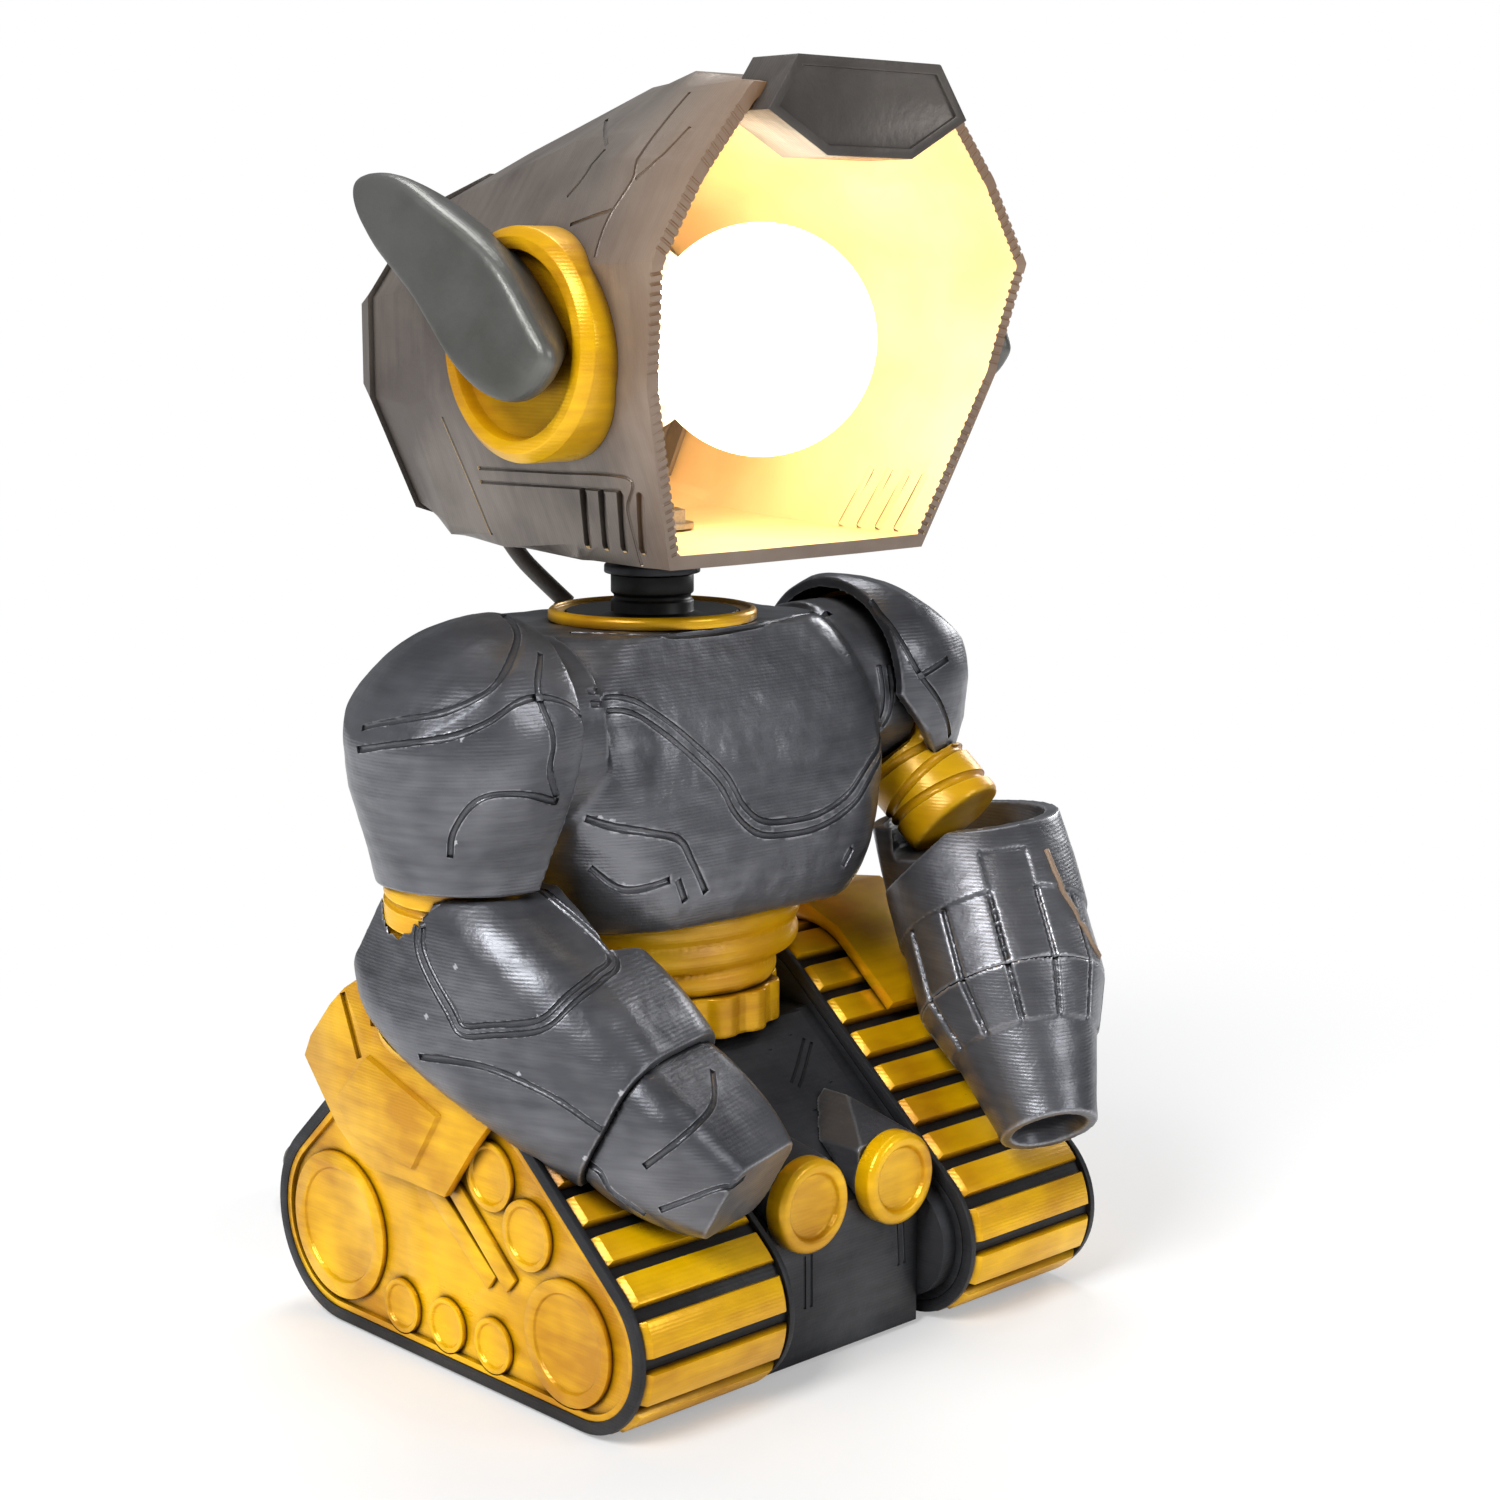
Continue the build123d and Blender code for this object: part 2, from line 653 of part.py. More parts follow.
nut_z = 215.2
nut_height = 5.0
nut_r = 9.6
nut_play = 0.02
washer_r = 11.5
washer_thick = 1.4
with BuildPart() as neck_post:
    with BuildSketch(Plane.XZ.offset(-neck_y)):
        with BuildLine():
            Polyline(
                (0, chest_top_z - 6), (stem_r, chest_top_z - 6), (stem_r, chest_top_z), (dish_r, chest_top_z),
                (dish_r, chest_top_z + 2.6), (neck_post_r + 3, chest_top_z + 1.2),
                (neck_post_r, chest_top_z + 2.2), (neck_post_r, chest_top_z + 5.2),
                (neck_post_r - 0.8, chest_top_z + 5.8), (neck_post_r - 0.8, chest_top_z + 6.8),
                (neck_post_r, chest_top_z + 7.4), (neck_post_r, neck_split_z), (spigot_r, neck_split_z),
                (spigot_r, nut_z + nut_height + 1.5), (0, nut_z + nut_height + 1.5), (0, chest_top_z - 6),
            )
        make_face()
    revolve(axis=Axis((0, neck_y, 0), (0, 0, 1)))
save(neck_post, "neck_post")

with BuildPart() as neck_nut:
    with BuildSketch(Plane.XY.offset(nut_z)):
        with Locations((0, neck_y)):
            Circle(washer_r)
            Circle(spigot_r + nut_play, mode=Mode.SUBTRACT)
    extrude(amount=washer_thick)
    with BuildSketch(Plane.XY.offset(nut_z + washer_thick)):
        with Locations((0, neck_y)):
            RegularPolygon(nut_r, 6)
            Circle(spigot_r + nut_play, mode=Mode.SUBTRACT)
    extrude(amount=nut_height - washer_thick)
save(neck_nut, "neck_nut")


# ------------------------------------------------------------------ helmet
def inset_corners(corners, inset):
    """Move every side of a closed outline inwards by the same amount."""
    count = len(corners)
    moved = []
    for k in range(count):
        (x0, z0), (x1, z1), (x2, z2) = corners[k - 1], corners[k], corners[(k + 1) % count]
        a = ((z1 - z0) / hypot(x1 - x0, z1 - z0), (x0 - x1) / hypot(x1 - x0, z1 - z0))
        b = ((z2 - z1) / hypot(x2 - x1, z2 - z1), (x1 - x2) / hypot(x2 - x1, z2 - z1))
        share = inset / (1 + a[0] * b[0] + a[1] * b[1])
        moved.append((x1 - (a[0] + b[0]) * share, z1 - (a[1] + b[1]) * share))
    return moved


def helmet_face(corners, inset):
    """One upright section of the helmet from the corners of its left half."""
    left = [(x, z) for x, z in corners]
    right = [(-x, z) for x, z in reversed(corners)]
    with BuildSketch() as outline:
        Polygon(*inset_corners(left + right, inset), align=None)
    return outline.sketch


def helmet_loft(stations, inset):
    """Solid through upright sections, made outside any part that is being built."""
    with BuildPart() as body:
        for y, *corners in stations:
            with BuildSketch(Plane.XZ.offset(-y)):
                add(helmet_face(corners, inset))
        loft(ruled=True)
    return body.part


shell_stations = [station for station in helmet if station[0] <= helmet_split_y]
helmet_block = helmet_loft(shell_stations, 0)
helmet_room = helmet_loft(shell_stations, helmet_wall)
floor_z = helmet[0][1][1]

with BuildPart() as helmet_shell:
    add(helmet_block)
    add(helmet_room, mode=Mode.SUBTRACT)
    with BuildSketch(Plane.YZ.offset(-100)):
        Polygon(
            (-90, 190), (face_bottom_y + 1.5, 190), (face_bottom_y, floor_z), (face_mid_y, face_mid_z),
            (face_top_y, 345), (-90, 345), align=None,
        )
    extrude(amount=200, mode=Mode.SUBTRACT)
    for side, sign in sides:
        for k in range(vent_count):
            with BuildSketch(Plane.YZ.offset(sign * 80)):
                with Locations(Location((vent_front_y + k * vent_pitch, vent_z, 0), (0, 0, 20))):
                    SlotOverall(vent_height, vent_width, rotation=90)
            extrude(amount=-sign * 40, mode=Mode.SUBTRACT)
    with BuildSketch(Plane.XY.offset(floor_z - 5)):
        with Locations((0, neck_y)):
            Circle(spigot_r + 0.4)
    extrude(amount=12, mode=Mode.SUBTRACT)
save(helmet_shell, "helmet_shell")

link_way = (Vector(*link_points[0]) - Vector(*link_points[1])).normalized()
back_first = helmet[-2]
back_last = helmet[-1]
back_front_y = helmet_split_y + seat_gap
back_end_y = 86.0
back_inner_y = 82.0
lip_front_y = 54.0
lip_thick = 2.0
with BuildPart() as helmet_back:
    for y, corners, inset in (
        (back_front_y, back_first[1:], -helmet_back_step),
        (78.0, back_last[1:], -0.8),
        (back_end_y, back_last[1:], 5.0),
    ):
        with BuildSketch(Plane.XZ.offset(-y)):
            add(helmet_face(corners, inset))
    loft(ruled=True)
    for y, corners, inset in (
        (back_front_y - 1, back_first[1:], helmet_wall + lip_thick),
        (78.0, back_last[1:], helmet_wall + 0.6),
        (back_inner_y, back_last[1:], 8.0),
    ):
        with BuildSketch(Plane.XZ.offset(-y)):
            add(helmet_face(corners, inset))
    loft(ruled=True, mode=Mode.SUBTRACT)
    with BuildSketch(Plane.XZ.offset(-lip_front_y)):
        add(helmet_face(back_first[1:], helmet_wall + 0.4))
        add(helmet_face(back_first[1:], helmet_wall + lip_thick), mode=Mode.SUBTRACT)
    extrude(amount=lip_front_y - back_front_y - 0.5)
    with BuildSketch(Plane(origin=Vector(*link_points[0]), z_dir=link_way)):
        Circle(gland_r + seat_gap)
    extrude(amount=gland_len + 4, mode=Mode.SUBTRACT)
save(helmet_back, "helmet_back")

socket_z = neck_split_z + turn_gap
with BuildPart() as neck_socket:
    with BuildSketch(Plane.XZ.offset(-neck_y)):
        with BuildLine():
            Polyline(
                (spigot_r + pin_gap, socket_z), (neck_flare_r, socket_z), (neck_flare_r, socket_z + 2.2),
                (neck_flare_r - 1.2, socket_z + 3.0), (neck_flare_r - 1.2, socket_z + 5.0),
                (neck_flare_r + 0.6, socket_z + 7.0), (neck_flare_r + 0.6, floor_z + 2),
                (spigot_r + pin_gap, floor_z + 2), (spigot_r + pin_gap, socket_z),
            )
        make_face()
    revolve(axis=Axis((0, neck_y, 0), (0, 0, 1)))
    add(helmet_block, mode=Mode.SUBTRACT)
save(neck_socket, "neck_socket")

with BuildPart() as brow_plate:
    with BuildSketch(Plane.XZ.offset(-brow_front_y)):
        Polygon(*brow, align=None)
    extrude(amount=-brow_depth)
    with BuildSketch(Plane.XZ.offset(-brow_front_y)):
        Polygon(*inset_corners([(x, z) for x, z in brow], brow_border), align=None)
    extrude(amount=-1.0, mode=Mode.SUBTRACT)
    add(helmet_shell.part, mode=Mode.SUBTRACT)
save(brow_plate, "brow_plate")

horn_outline = (
    (-41.1, 260.8), (-30.4, 253.0), (-11.2, 257.7), (8.4, 276.8), (22.5, 287.9), (33.7, 306.6),
    (25.9, 308.3), (-0.5, 299.7), (-23.6, 286.4), (-38.3, 270.1),
)
horn_pin_r = 5.0
horn_pin_len = 2.5
cup_floor_x = ear_face_x - ear_dish
horn_middle = (-4.0, 280.0)
horn_levels = ((0, 0.80), (5.0, 0.92), (11.0, 1.0), (15.0, 0.80))


def toward(points, middle, share):
    """Draw an outline in towards a middle point."""
    return [(middle[0] + (y - middle[0]) * share, middle[1] + (z - middle[1]) * share) for y, z in points]


for side, sign in sides:
    with BuildPart() as ear_cup:
        with BuildSketch(Plane.YZ.offset(sign * ear_root_x)):
            with Locations((ear_y, ear_z)):
                Circle(ear_r)
        extrude(amount=sign * (ear_face_x - ear_root_x))
        outer = ear_cup.faces().sort_by(Axis.X)[-1 if sign > 0 else 0]
        chamfer(outer.edges(), 2.5)
        with BuildSketch(Plane.YZ.offset(sign * cup_floor_x)):
            with Locations((ear_y, ear_z)):
                Circle(ear_r - ear_ring)
        extrude(amount=sign * (ear_dish + 1), taper=-15, mode=Mode.SUBTRACT)
        with BuildSketch(Plane.YZ.offset(sign * cup_floor_x)):
            with Locations((ear_y, ear_z + 4)):
                Circle(horn_pin_r + pin_gap)
        extrude(amount=-sign * horn_pin_len, mode=Mode.SUBTRACT)
        add(helmet_block, mode=Mode.SUBTRACT)
    save(ear_cup, f"ear_cup_{side}")

    with BuildPart() as ear_horn:
        for rise, share in horn_levels:
            with BuildSketch(Plane.YZ.offset(sign * (cup_floor_x + seat_gap + rise))):
                with BuildLine():
                    Spline(*toward(horn_outline, horn_middle, share), periodic=True)
                make_face()
        loft()
        with BuildSketch(Plane.YZ.offset(sign * (cup_floor_x + 1))):
            with Locations((ear_y, ear_z + 4)):
                Circle(horn_pin_r)
        extrude(amount=-sign * (horn_pin_len + 0.5))
        add(ear_cup.part, mode=Mode.SUBTRACT)
    save(ear_horn, f"ear_horn_{side}")

# ------------------------------------------------------------------ lamp
lamp_axis = Axis((0, 0, bulb_z), (0, 1, 0))
cap_back_y = bulb_back_y + cap_screw_len
contact_back_y = cap_back_y + 3
holder_floor_y = contact_back_y
glass_neck_r = cap_screw_r - 1.2


def glass_face(inset):
    """Half section of the bulb glass, X along the lamp axis and Y outwards."""
    radius = bulb_r - inset
    edge = glass_neck_r - inset
    with BuildSketch() as outline:
        with BuildLine():
            front = CenterArc((bulb_y, 0), radius, 180, -130)
            throat = TangentArc(front @ 1, (bulb_back_y, edge), tangent=front % 1)
            Line(throat @ 1, (bulb_back_y, 0))
            Line((bulb_back_y, 0), front @ 0)
        make_face()
    return outline.sketch


lamp_plane = Plane(origin=(0, 0, bulb_z), x_dir=(0, 1, 0), z_dir=(1, 0, 0))
with BuildPart() as bulb_glass_part:
    with BuildSketch(lamp_plane):
        add(glass_face(0))
        add(glass_face(bulb_glass), mode=Mode.SUBTRACT)
    revolve(axis=lamp_axis)
save(bulb_glass_part, "bulb_glass")

with BuildPart() as bulb_cap:
    with BuildSketch(lamp_plane):
        with BuildLine():
            Polyline(
                (bulb_back_y, 0), (bulb_back_y, cap_screw_r), (cap_back_y - 4, cap_screw_r),
                (cap_back_y, cap_screw_r - 5), (cap_back_y, 0), (bulb_back_y, 0),
            )
        make_face()
    revolve(axis=lamp_axis)
    with BuildSketch(Plane.XZ.offset(-cap_back_y)):
        with Locations((0, bulb_z)):
            Circle(4.5)
    extrude(amount=-(contact_back_y - cap_back_y))
save(bulb_cap, "bulb_cap")

with BuildPart() as lamp_holder:
    with BuildSketch(lamp_plane):
        with BuildLine():
            Polyline(
                (holder_front_y, cap_screw_r + 0.4), (holder_front_y, holder_r), (holder_back_y, holder_r),
                (holder_back_y, 0), (holder_floor_y, 0), (holder_floor_y, cap_screw_r + 0.4),
                (holder_front_y, cap_screw_r + 0.4),
            )
        make_face()
    revolve(axis=lamp_axis)
    with BuildSketch(Plane.XZ.offset(-holder_back_y)):
        with Locations((0, bulb_z)):
            Circle(11)
    extrude(amount=-(back_inner_y - holder_back_y))
save(lamp_holder, "lamp_holder")

with BuildPart() as holder_ring:
    with BuildSketch(Plane.XZ.offset(-holder_front_y - 4)):
        with Locations((0, bulb_z)):
            Circle(holder_flange_r)
            Circle(holder_r + pin_gap, mode=Mode.SUBTRACT)
    extrude(amount=-5)
save(holder_ring, "holder_ring")


# ------------------------------------------------------------------ arms
def dome_face(inset, bottom):
    """Half section of a shoulder dome, X outwards from its upright axis and Y the height."""
    radius = dome_r - inset
    middle = shoulder_z + dome_top - dome_r
    with BuildSketch() as outline:
        with BuildLine():
            crown = CenterArc((0, middle), radius, 0, 90)
            Polyline(
                crown @ 0, (radius - 1.2, middle - 12), (radius - 5.6, 140.0), (radius - 7.6, bottom),
                (0, bottom), crown @ 1,
            )
        make_face()
    return outline.sketch


def dome_block(side, sign, inset, bottom):
    """A solid shoulder dome that leans inwards."""
    axis_y = shoulder_y[side]
    plane = Plane(origin=(sign * dome_x, axis_y, 0), x_dir=(-sign, 0, 0), z_dir=(0, sign, 0))
    with BuildPart() as block:
        with BuildSketch(plane):
            add(dome_face(inset, bottom))
        revolve(axis=Axis((sign * dome_x, axis_y, 0), (0, 0, 1)))
        with Locations((sign * (dome_x - dome_lean_in), axis_y, dome_lean_z)):
            Sphere(dome_lean_r - inset, rotation=(0, 0, 90 + 90 * sign), mode=Mode.INTERSECT)
    return block.part


dome_bottom = shoulder_z - dome_drop
cut_slope = {"right": 0.3, "left": 0.8}
sweep_r = 61.6
# left forearm: a round blaster shaped sleeve, open at the elbow
cannon_start = Vector(*cannon_top)
cannon_way = (Vector(*cannon_tip) - cannon_start).normalized()
cannon_side = Vector(0, 0, 1).cross(cannon_way).normalized()
cannon_up = cannon_way.cross(cannon_side)
barrel_end = cannon_body_len + 40
cup_wall = 3.0
cup_rise = 22.0          # of the sleeve above the upper end of its axis, before its rim is cut
cup_rim = -3.0           # where the middle of the rim lies on that axis
cup_lean = (0.088, -0.554, 0.828)   # way the rim faces, in the axes of cannon_plane; lowest at the front
cup_room_depth = 9.0     # open room round the elbow, below the rim
sleeve_step_at = 33.4    # from here on the sleeve is set back behind its upper part
sleeve_step = 0.8
nozzle_neck_at = cannon_body_len + 15
panel_slot_angles = range(23, 383, 30)
panel_slot_wide = 1.5
panel_slot_deep = 1.4
front_panel = (83.0, 113.0)   # angles of the panel that reaches further up
front_panel_at = 22.0


def cannon_plane(reach):
    """Plane square to the left forearm at a distance from its upper end."""
    return Plane(origin=cannon_start + cannon_way * reach, x_dir=cannon_side, z_dir=cannon_way)


cannon_axis = Axis(cannon_start, cannon_way)
cannon_half = Plane(origin=cannon_start, x_dir=cannon_way, z_dir=cannon_side)
rim_plane = Plane(
    origin=cannon_start + cannon_way * cup_rim,
    z_dir=cannon_side * cup_lean[0] + cannon_up * cup_lean[1] + cannon_way * cup_lean[2],
)
cup_bore_r = cannon_r - 0.8 - cup_wall
cup_clear = 0.7


def elbow_trim(grow):
    """All that lies below the rim of the left sleeve, but for the inside of its bore."""
    with BuildPart() as trim:
        with BuildSketch(rim_plane.offset(grow - 0.3)):
            Circle(3 * cannon_r)
        extrude(amount=2 * cannon_r)
        with BuildSketch(cannon_plane(-cup_rise)):
            Circle(cup_bore_r - cup_clear + grow)
        extrude(amount=4 * cannon_r, mode=Mode.SUBTRACT)
    return trim.part


limb_top = {"right": (-82.0, 0.0, 150.0), "left": (80.0, 4.0, 152.0)}
limb_low = {"right": (-79.0, 4.0, 112.0), "left": (85.0, -22.0, 127.0)}
def limb_part(side, sign, grow):
    """The straight part of an upper arm, clear of the torso."""
    start = Vector(*limb_top[side])
    reach = Vector(*limb_low[side]) - start
    trim = elbow_trim(grow)
    with BuildPart() as limb:
        with BuildSketch(Plane(origin=start, z_dir=reach)):
            Circle(limb_radius[side] + grow)
        extrude(amount=reach.length + grow)
        with BuildSketch(Plane.YZ.offset(sign * arm_clear_x)):
            with Locations((shoulder_y[side], shoulder_z)):
                Circle(shoulder_stub_r + 0.6)
        extrude(amount=-sign * 60, mode=Mode.SUBTRACT)
        with BuildSketch(Plane.YZ.offset(sign * dome_cut_x)):
            with Locations((0, shoulder_z)):
                Rectangle(200, 200)
        extrude(amount=-sign * 60, mode=Mode.SUBTRACT)
        if side == "left":
            add(trim, mode=Mode.SUBTRACT)
    return limb.part


limb_radius = {"right": 17.4, "left": 15.2}
limbs = {side: limb_part(side, sign, 0) for side, sign in sides}
for side, sign in sides:
    axis_y = shoulder_y[side]
    dome_outside = dome_block(side, sign, 0, dome_bottom)
    dome_inside = dome_block(side, sign, dome_wall, dome_bottom - 1)
    dome_filling = dome_block(side, sign, dome_wall + seat_gap, dome_bottom + 2)
    with BuildPart() as inner_cut:
        with BuildSketch(Plane.XZ.offset(100)):
            Polygon(
                (0, 100), (sign * (dome_cut_x + (shoulder_z - 100) * cut_slope[side]), 100),
                (sign * dome_cut_x, shoulder_z), (sign * dome_cut_x, 230), (0, 230), align=None,
            )
        extrude(amount=-200)

    with BuildPart() as pauldron:
        add(dome_outside)
        add(dome_inside, mode=Mode.SUBTRACT)
        add(inner_cut.part, mode=Mode.SUBTRACT)
    save(pauldron, f"pauldron_{side}")

    with BuildPart() as upper_arm:
        add(dome_filling)
        with BuildSketch(Plane.YZ.offset(sign * arm_clear_x)):
            with Locations((axis_y, shoulder_z)):
                Rectangle(150, 150)
        extrude(amount=-sign * 60, mode=Mode.SUBTRACT)
        add(limbs[side])
        with BuildSketch(Plane.YZ.offset(sign * 70)):
            with Locations((axis_y, shoulder_z)):
                Circle(peg_r + pin_gap)
        extrude(amount=sign * 18.5, mode=Mode.SUBTRACT)
        add(pauldron.part, mode=Mode.SUBTRACT)
    save(upper_arm, f"upper_arm_{side}")

    with BuildPart() as shoulder_peg:
        with BuildSketch(Plane.YZ.offset(sign * peg_flange_x)):
            with Locations((axis_y, shoulder_z)):
                Circle(9)
        extrude(amount=sign * peg_flange_thick)
        with BuildSketch(Plane.YZ.offset(sign * peg_flange_x)):
            with Locations((axis_y, shoulder_z)):
                Circle(peg_r)
        extrude(amount=sign * (88 - peg_flange_x))
    save(shoulder_peg, f"shoulder_peg_{side}")

# right forearm: an armoured sleeve from the elbow to the fist
elbow = Vector(*elbow_right)
fist = Vector(*hand_right)
arm_way = (fist - elbow).normalized()
arm_inward = Vector(0.954, 0.300, 0.0)
sleeve = (               # distance from the elbow, half width, half height, sideways and upward shift
    (-20.0, 16.0, 19.0, 3.0, 5.0),
    (-8.0, 22.0, 26.0, 2.5, 6.0),
    (18.0, 25.5, 28.0, -0.5, 7.0),
    (46.0, 25.5, 25.5, -1.0, 6.0),
    (66.0, 23.5, 21.0, 0.0, 4.0),
)
sleeve_wall = 3.2
rest_gap = 0.5


def sleeve_face(station, inset):
    """One section square to the forearm; X towards the body, Y up."""
    reach, half_wide, half_high, aside, up = station
    with BuildSketch() as outline:
        with Locations((aside, up)):
            RectangleRounded(
                2 * (half_wide - inset), 2 * (half_high - inset), 0.62 * (min(half_wide, half_high) - inset),
            )
    return outline.sketch


def arm_plane(reach):
    """Plane square to the right forearm at a distance from the elbow."""
    return Plane(origin=elbow + arm_way * reach, x_dir=arm_inward, z_dir=arm_way)


def sweep_guard(side, sign):
    """Room that the arms stay out of at rest and over their whole swing."""
    axis_y = shoulder_y[side]
    with BuildPart() as room:
        with BuildSketch(Plane.YZ.offset(sign * 20)):
            add(track_face(-rest_gap))
        extrude(amount=sign * (skirt_x + 0.1 - 20))
        with BuildSketch(Plane.YZ.offset(sign * (guard_inner_x - rest_gap))):
            add(guard_face(rest_gap))
        extrude(amount=sign * (guard_outer_x + guard_panel_rise + 2 * rest_gap - guard_inner_x))
        with BuildSketch(Plane.YZ.offset(sign * (track_inner_x - 14))):
            with Locations((axis_y + 76, shoulder_z - 50)):
                Rectangle(130, 110)
            with Locations((axis_y, shoulder_z)):
                Circle(sweep_r, mode=Mode.SUBTRACT)
        extrude(amount=sign * (guard_outer_x + guard_panel_rise + rest_gap - track_inner_x + 14))
        with BuildSketch(Plane.YZ.offset(0)):
            with Locations((20, 130)):
                Rectangle(108, 150)
        extrude(amount=sign * 46.0)
        with BuildSketch(Plane.YZ.offset(0)):
            with Locations((axis_y, shoulder_z)):
                Circle(62.5)
        extrude(amount=sign * (chest[3][1] + rest_gap))
    return room.part


right_room = sweep_guard("right", -1)
right_limb = limb_part("right", -1, seat_gap)
with BuildPart() as gauntlet:
    for station in sleeve:
        with BuildSketch(arm_plane(station[0])):
            add(sleeve_face(station, 0))
    loft()
    for station in sleeve[1:]:
        shift = -0.5 if station is sleeve[1] else 0
        with BuildSketch(arm_plane(station[0] + shift)):
            add(sleeve_face(station, sleeve_wall))
    loft(mode=Mode.SUBTRACT)
    add(right_room, mode=Mode.SUBTRACT)
    add(right_limb, mode=Mode.SUBTRACT)
    with Locations((-80, 0, dome_bottom - 1)):
        Box(120, 120, 40, align=(Align.CENTER, Align.CENTER, Align.MIN), mode=Mode.SUBTRACT)
save(gauntlet, "gauntlet")

# fist and thumb that close the sleeve
fist_start = 62.0
fist_end = 98.0
with BuildPart() as hand:
    for reach, wide, high, aside, up in (
        (fist_start, 20.5, 18.0, 0.0, 4.0), (80.0, 21.5, 16.5, 1.5, 2.5), (fist_end, 16.0, 11.5, 4.0, 1.0),
    ):
        with BuildSketch(arm_plane(reach)):
            with Locations((aside, up)):
                RectangleRounded(2 * wide, 2 * high, 0.5 * high)
    loft()
    add(gauntlet.part, mode=Mode.SUBTRACT)
    add(right_room, mode=Mode.SUBTRACT)
save(hand, "hand")

left_room = sweep_guard("left", 1)
left_limb = limb_part("left", 1, seat_gap)
body_r = cannon_r + 0.9
panel_r = cannon_r - 0.1
neck_r = 20.8

with BuildPart() as cup_room:
    with BuildSketch(cannon_plane(cannon_body_len)):
        Circle(cup_bore_r)
    extrude(amount=-cannon_body_len - cup_rise - 1)
    with BuildSketch(rim_plane.offset(cup_room_depth)):
        Circle(3 * cannon_r)
    extrude(amount=3 * cannon_r, mode=Mode.SUBTRACT)

with BuildPart() as panel_slots:
    for angle in panel_slot_angles:
        turn = radians(angle)
        outward = cannon_side * cos(turn) + cannon_up * sin(turn)
        with BuildSketch(Plane(origin=cannon_start, x_dir=cannon_way, z_dir=cannon_way.cross(outward))):
            Polygon(
                (sleeve_step_at, panel_r - panel_slot_deep), (cannon_body_len, panel_r - panel_slot_deep),
                (nozzle_neck_at, neck_r - panel_slot_deep), (nozzle_neck_at, cannon_r + 3),
                (sleeve_step_at, cannon_r + 3), align=None,
            )
        extrude(amount=panel_slot_wide / 2, both=True)

with BuildPart() as front_window:
    with BuildSketch(cannon_plane(front_panel_at)):
        with BuildLine():
            window = CenterArc((0, 0), cannon_r + 3, front_panel[0], front_panel[1] - front_panel[0])
            Line(window @ 1, (0, 0))
            Line((0, 0), window @ 0)
        make_face()
        Circle(panel_r, mode=Mode.SUBTRACT)
    extrude(amount=sleeve_step_at - front_panel_at)
with BuildPart() as cannon_body:
    with BuildSketch(cannon_half):
        with BuildLine():
            Polyline(
                (-cup_rise, 0), (-cup_rise, cup_bore_r + cup_wall), (18, body_r), (sleeve_step_at, body_r - 0.2),
                (sleeve_step_at, body_r - 0.2 - sleeve_step), (cannon_body_len, panel_r),
                (cannon_body_len, 0), (-cup_rise, 0),
            )
        make_face()
    revolve(axis=cannon_axis)
    add(cup_room.part, mode=Mode.SUBTRACT)
    with BuildSketch(rim_plane):
        Circle(3 * cannon_r)
    extrude(amount=-2 * cannon_r, mode=Mode.SUBTRACT)
    add(panel_slots.part, mode=Mode.SUBTRACT)
    add(front_window.part, mode=Mode.SUBTRACT)
    add(left_room, mode=Mode.SUBTRACT)
    add(pauldron.part, mode=Mode.SUBTRACT)
    add(left_limb, mode=Mode.SUBTRACT)
save(cannon_body, "cannon_body")

with BuildPart() as cannon_nozzle:
    with BuildSketch(cannon_half):
        with BuildLine():
            Polyline(
                (cannon_body_len, 0), (cannon_body_len, panel_r), (nozzle_neck_at, neck_r),
                (nozzle_neck_at, neck_r - 0.7), (barrel_end - 5, 14.6), (barrel_end, 13.6),
                (barrel_end, cannon_mouth_r - 2), (barrel_end - 4, cannon_bore_r),
                (cannon_body_len + 8, cannon_bore_r), (cannon_body_len + 8, 0), (cannon_body_len, 0),
            )
        make_face()
    revolve(axis=cannon_axis)
    add(panel_slots.part, mode=Mode.SUBTRACT)
save(cannon_nozzle, "cannon_nozzle")

with BuildPart() as cannon_fin:
    with BuildSketch(Plane(origin=cannon_start, x_dir=cannon_way, z_dir=cannon_way.cross(Vector(0.8, 0.6, 0)))):
        Polygon(
            (8, cannon_r - 4), (2, cannon_r + 5), (30, cannon_r + 9.5), (cannon_body_len - 5, cannon_r + 9.5),
            (cannon_body_len + 5, cannon_r + 2), (cannon_body_len - 1, cannon_r - 4), align=None,
        )
    extrude(amount=7, both=True)
    add(cannon_body.part, mode=Mode.SUBTRACT)
    add(cannon_nozzle.part, mode=Mode.SUBTRACT)
    add(left_room, mode=Mode.SUBTRACT)
save(cannon_fin, "cannon_fin")

# soft looking bend of the right elbow, outside the mudguard
elbow_points = ((-85.0, 5.0, 112.0), (-85.0, 10.0, 93.0))
elbow_r = 11.5
with BuildPart() as elbow_bulge:
    first, last = Vector(*elbow_points[0]), Vector(*elbow_points[1])
    with BuildSketch(Plane(origin=first, z_dir=last - first)):
        Circle(elbow_r)
    extrude(amount=(last - first).length)
    with Locations(last):
        Sphere(elbow_r)
    add(right_room, mode=Mode.SUBTRACT)
    add(right_limb, mode=Mode.SUBTRACT)
    add(gauntlet.part, mode=Mode.SUBTRACT)
save(elbow_bulge, "elbow_bulge")

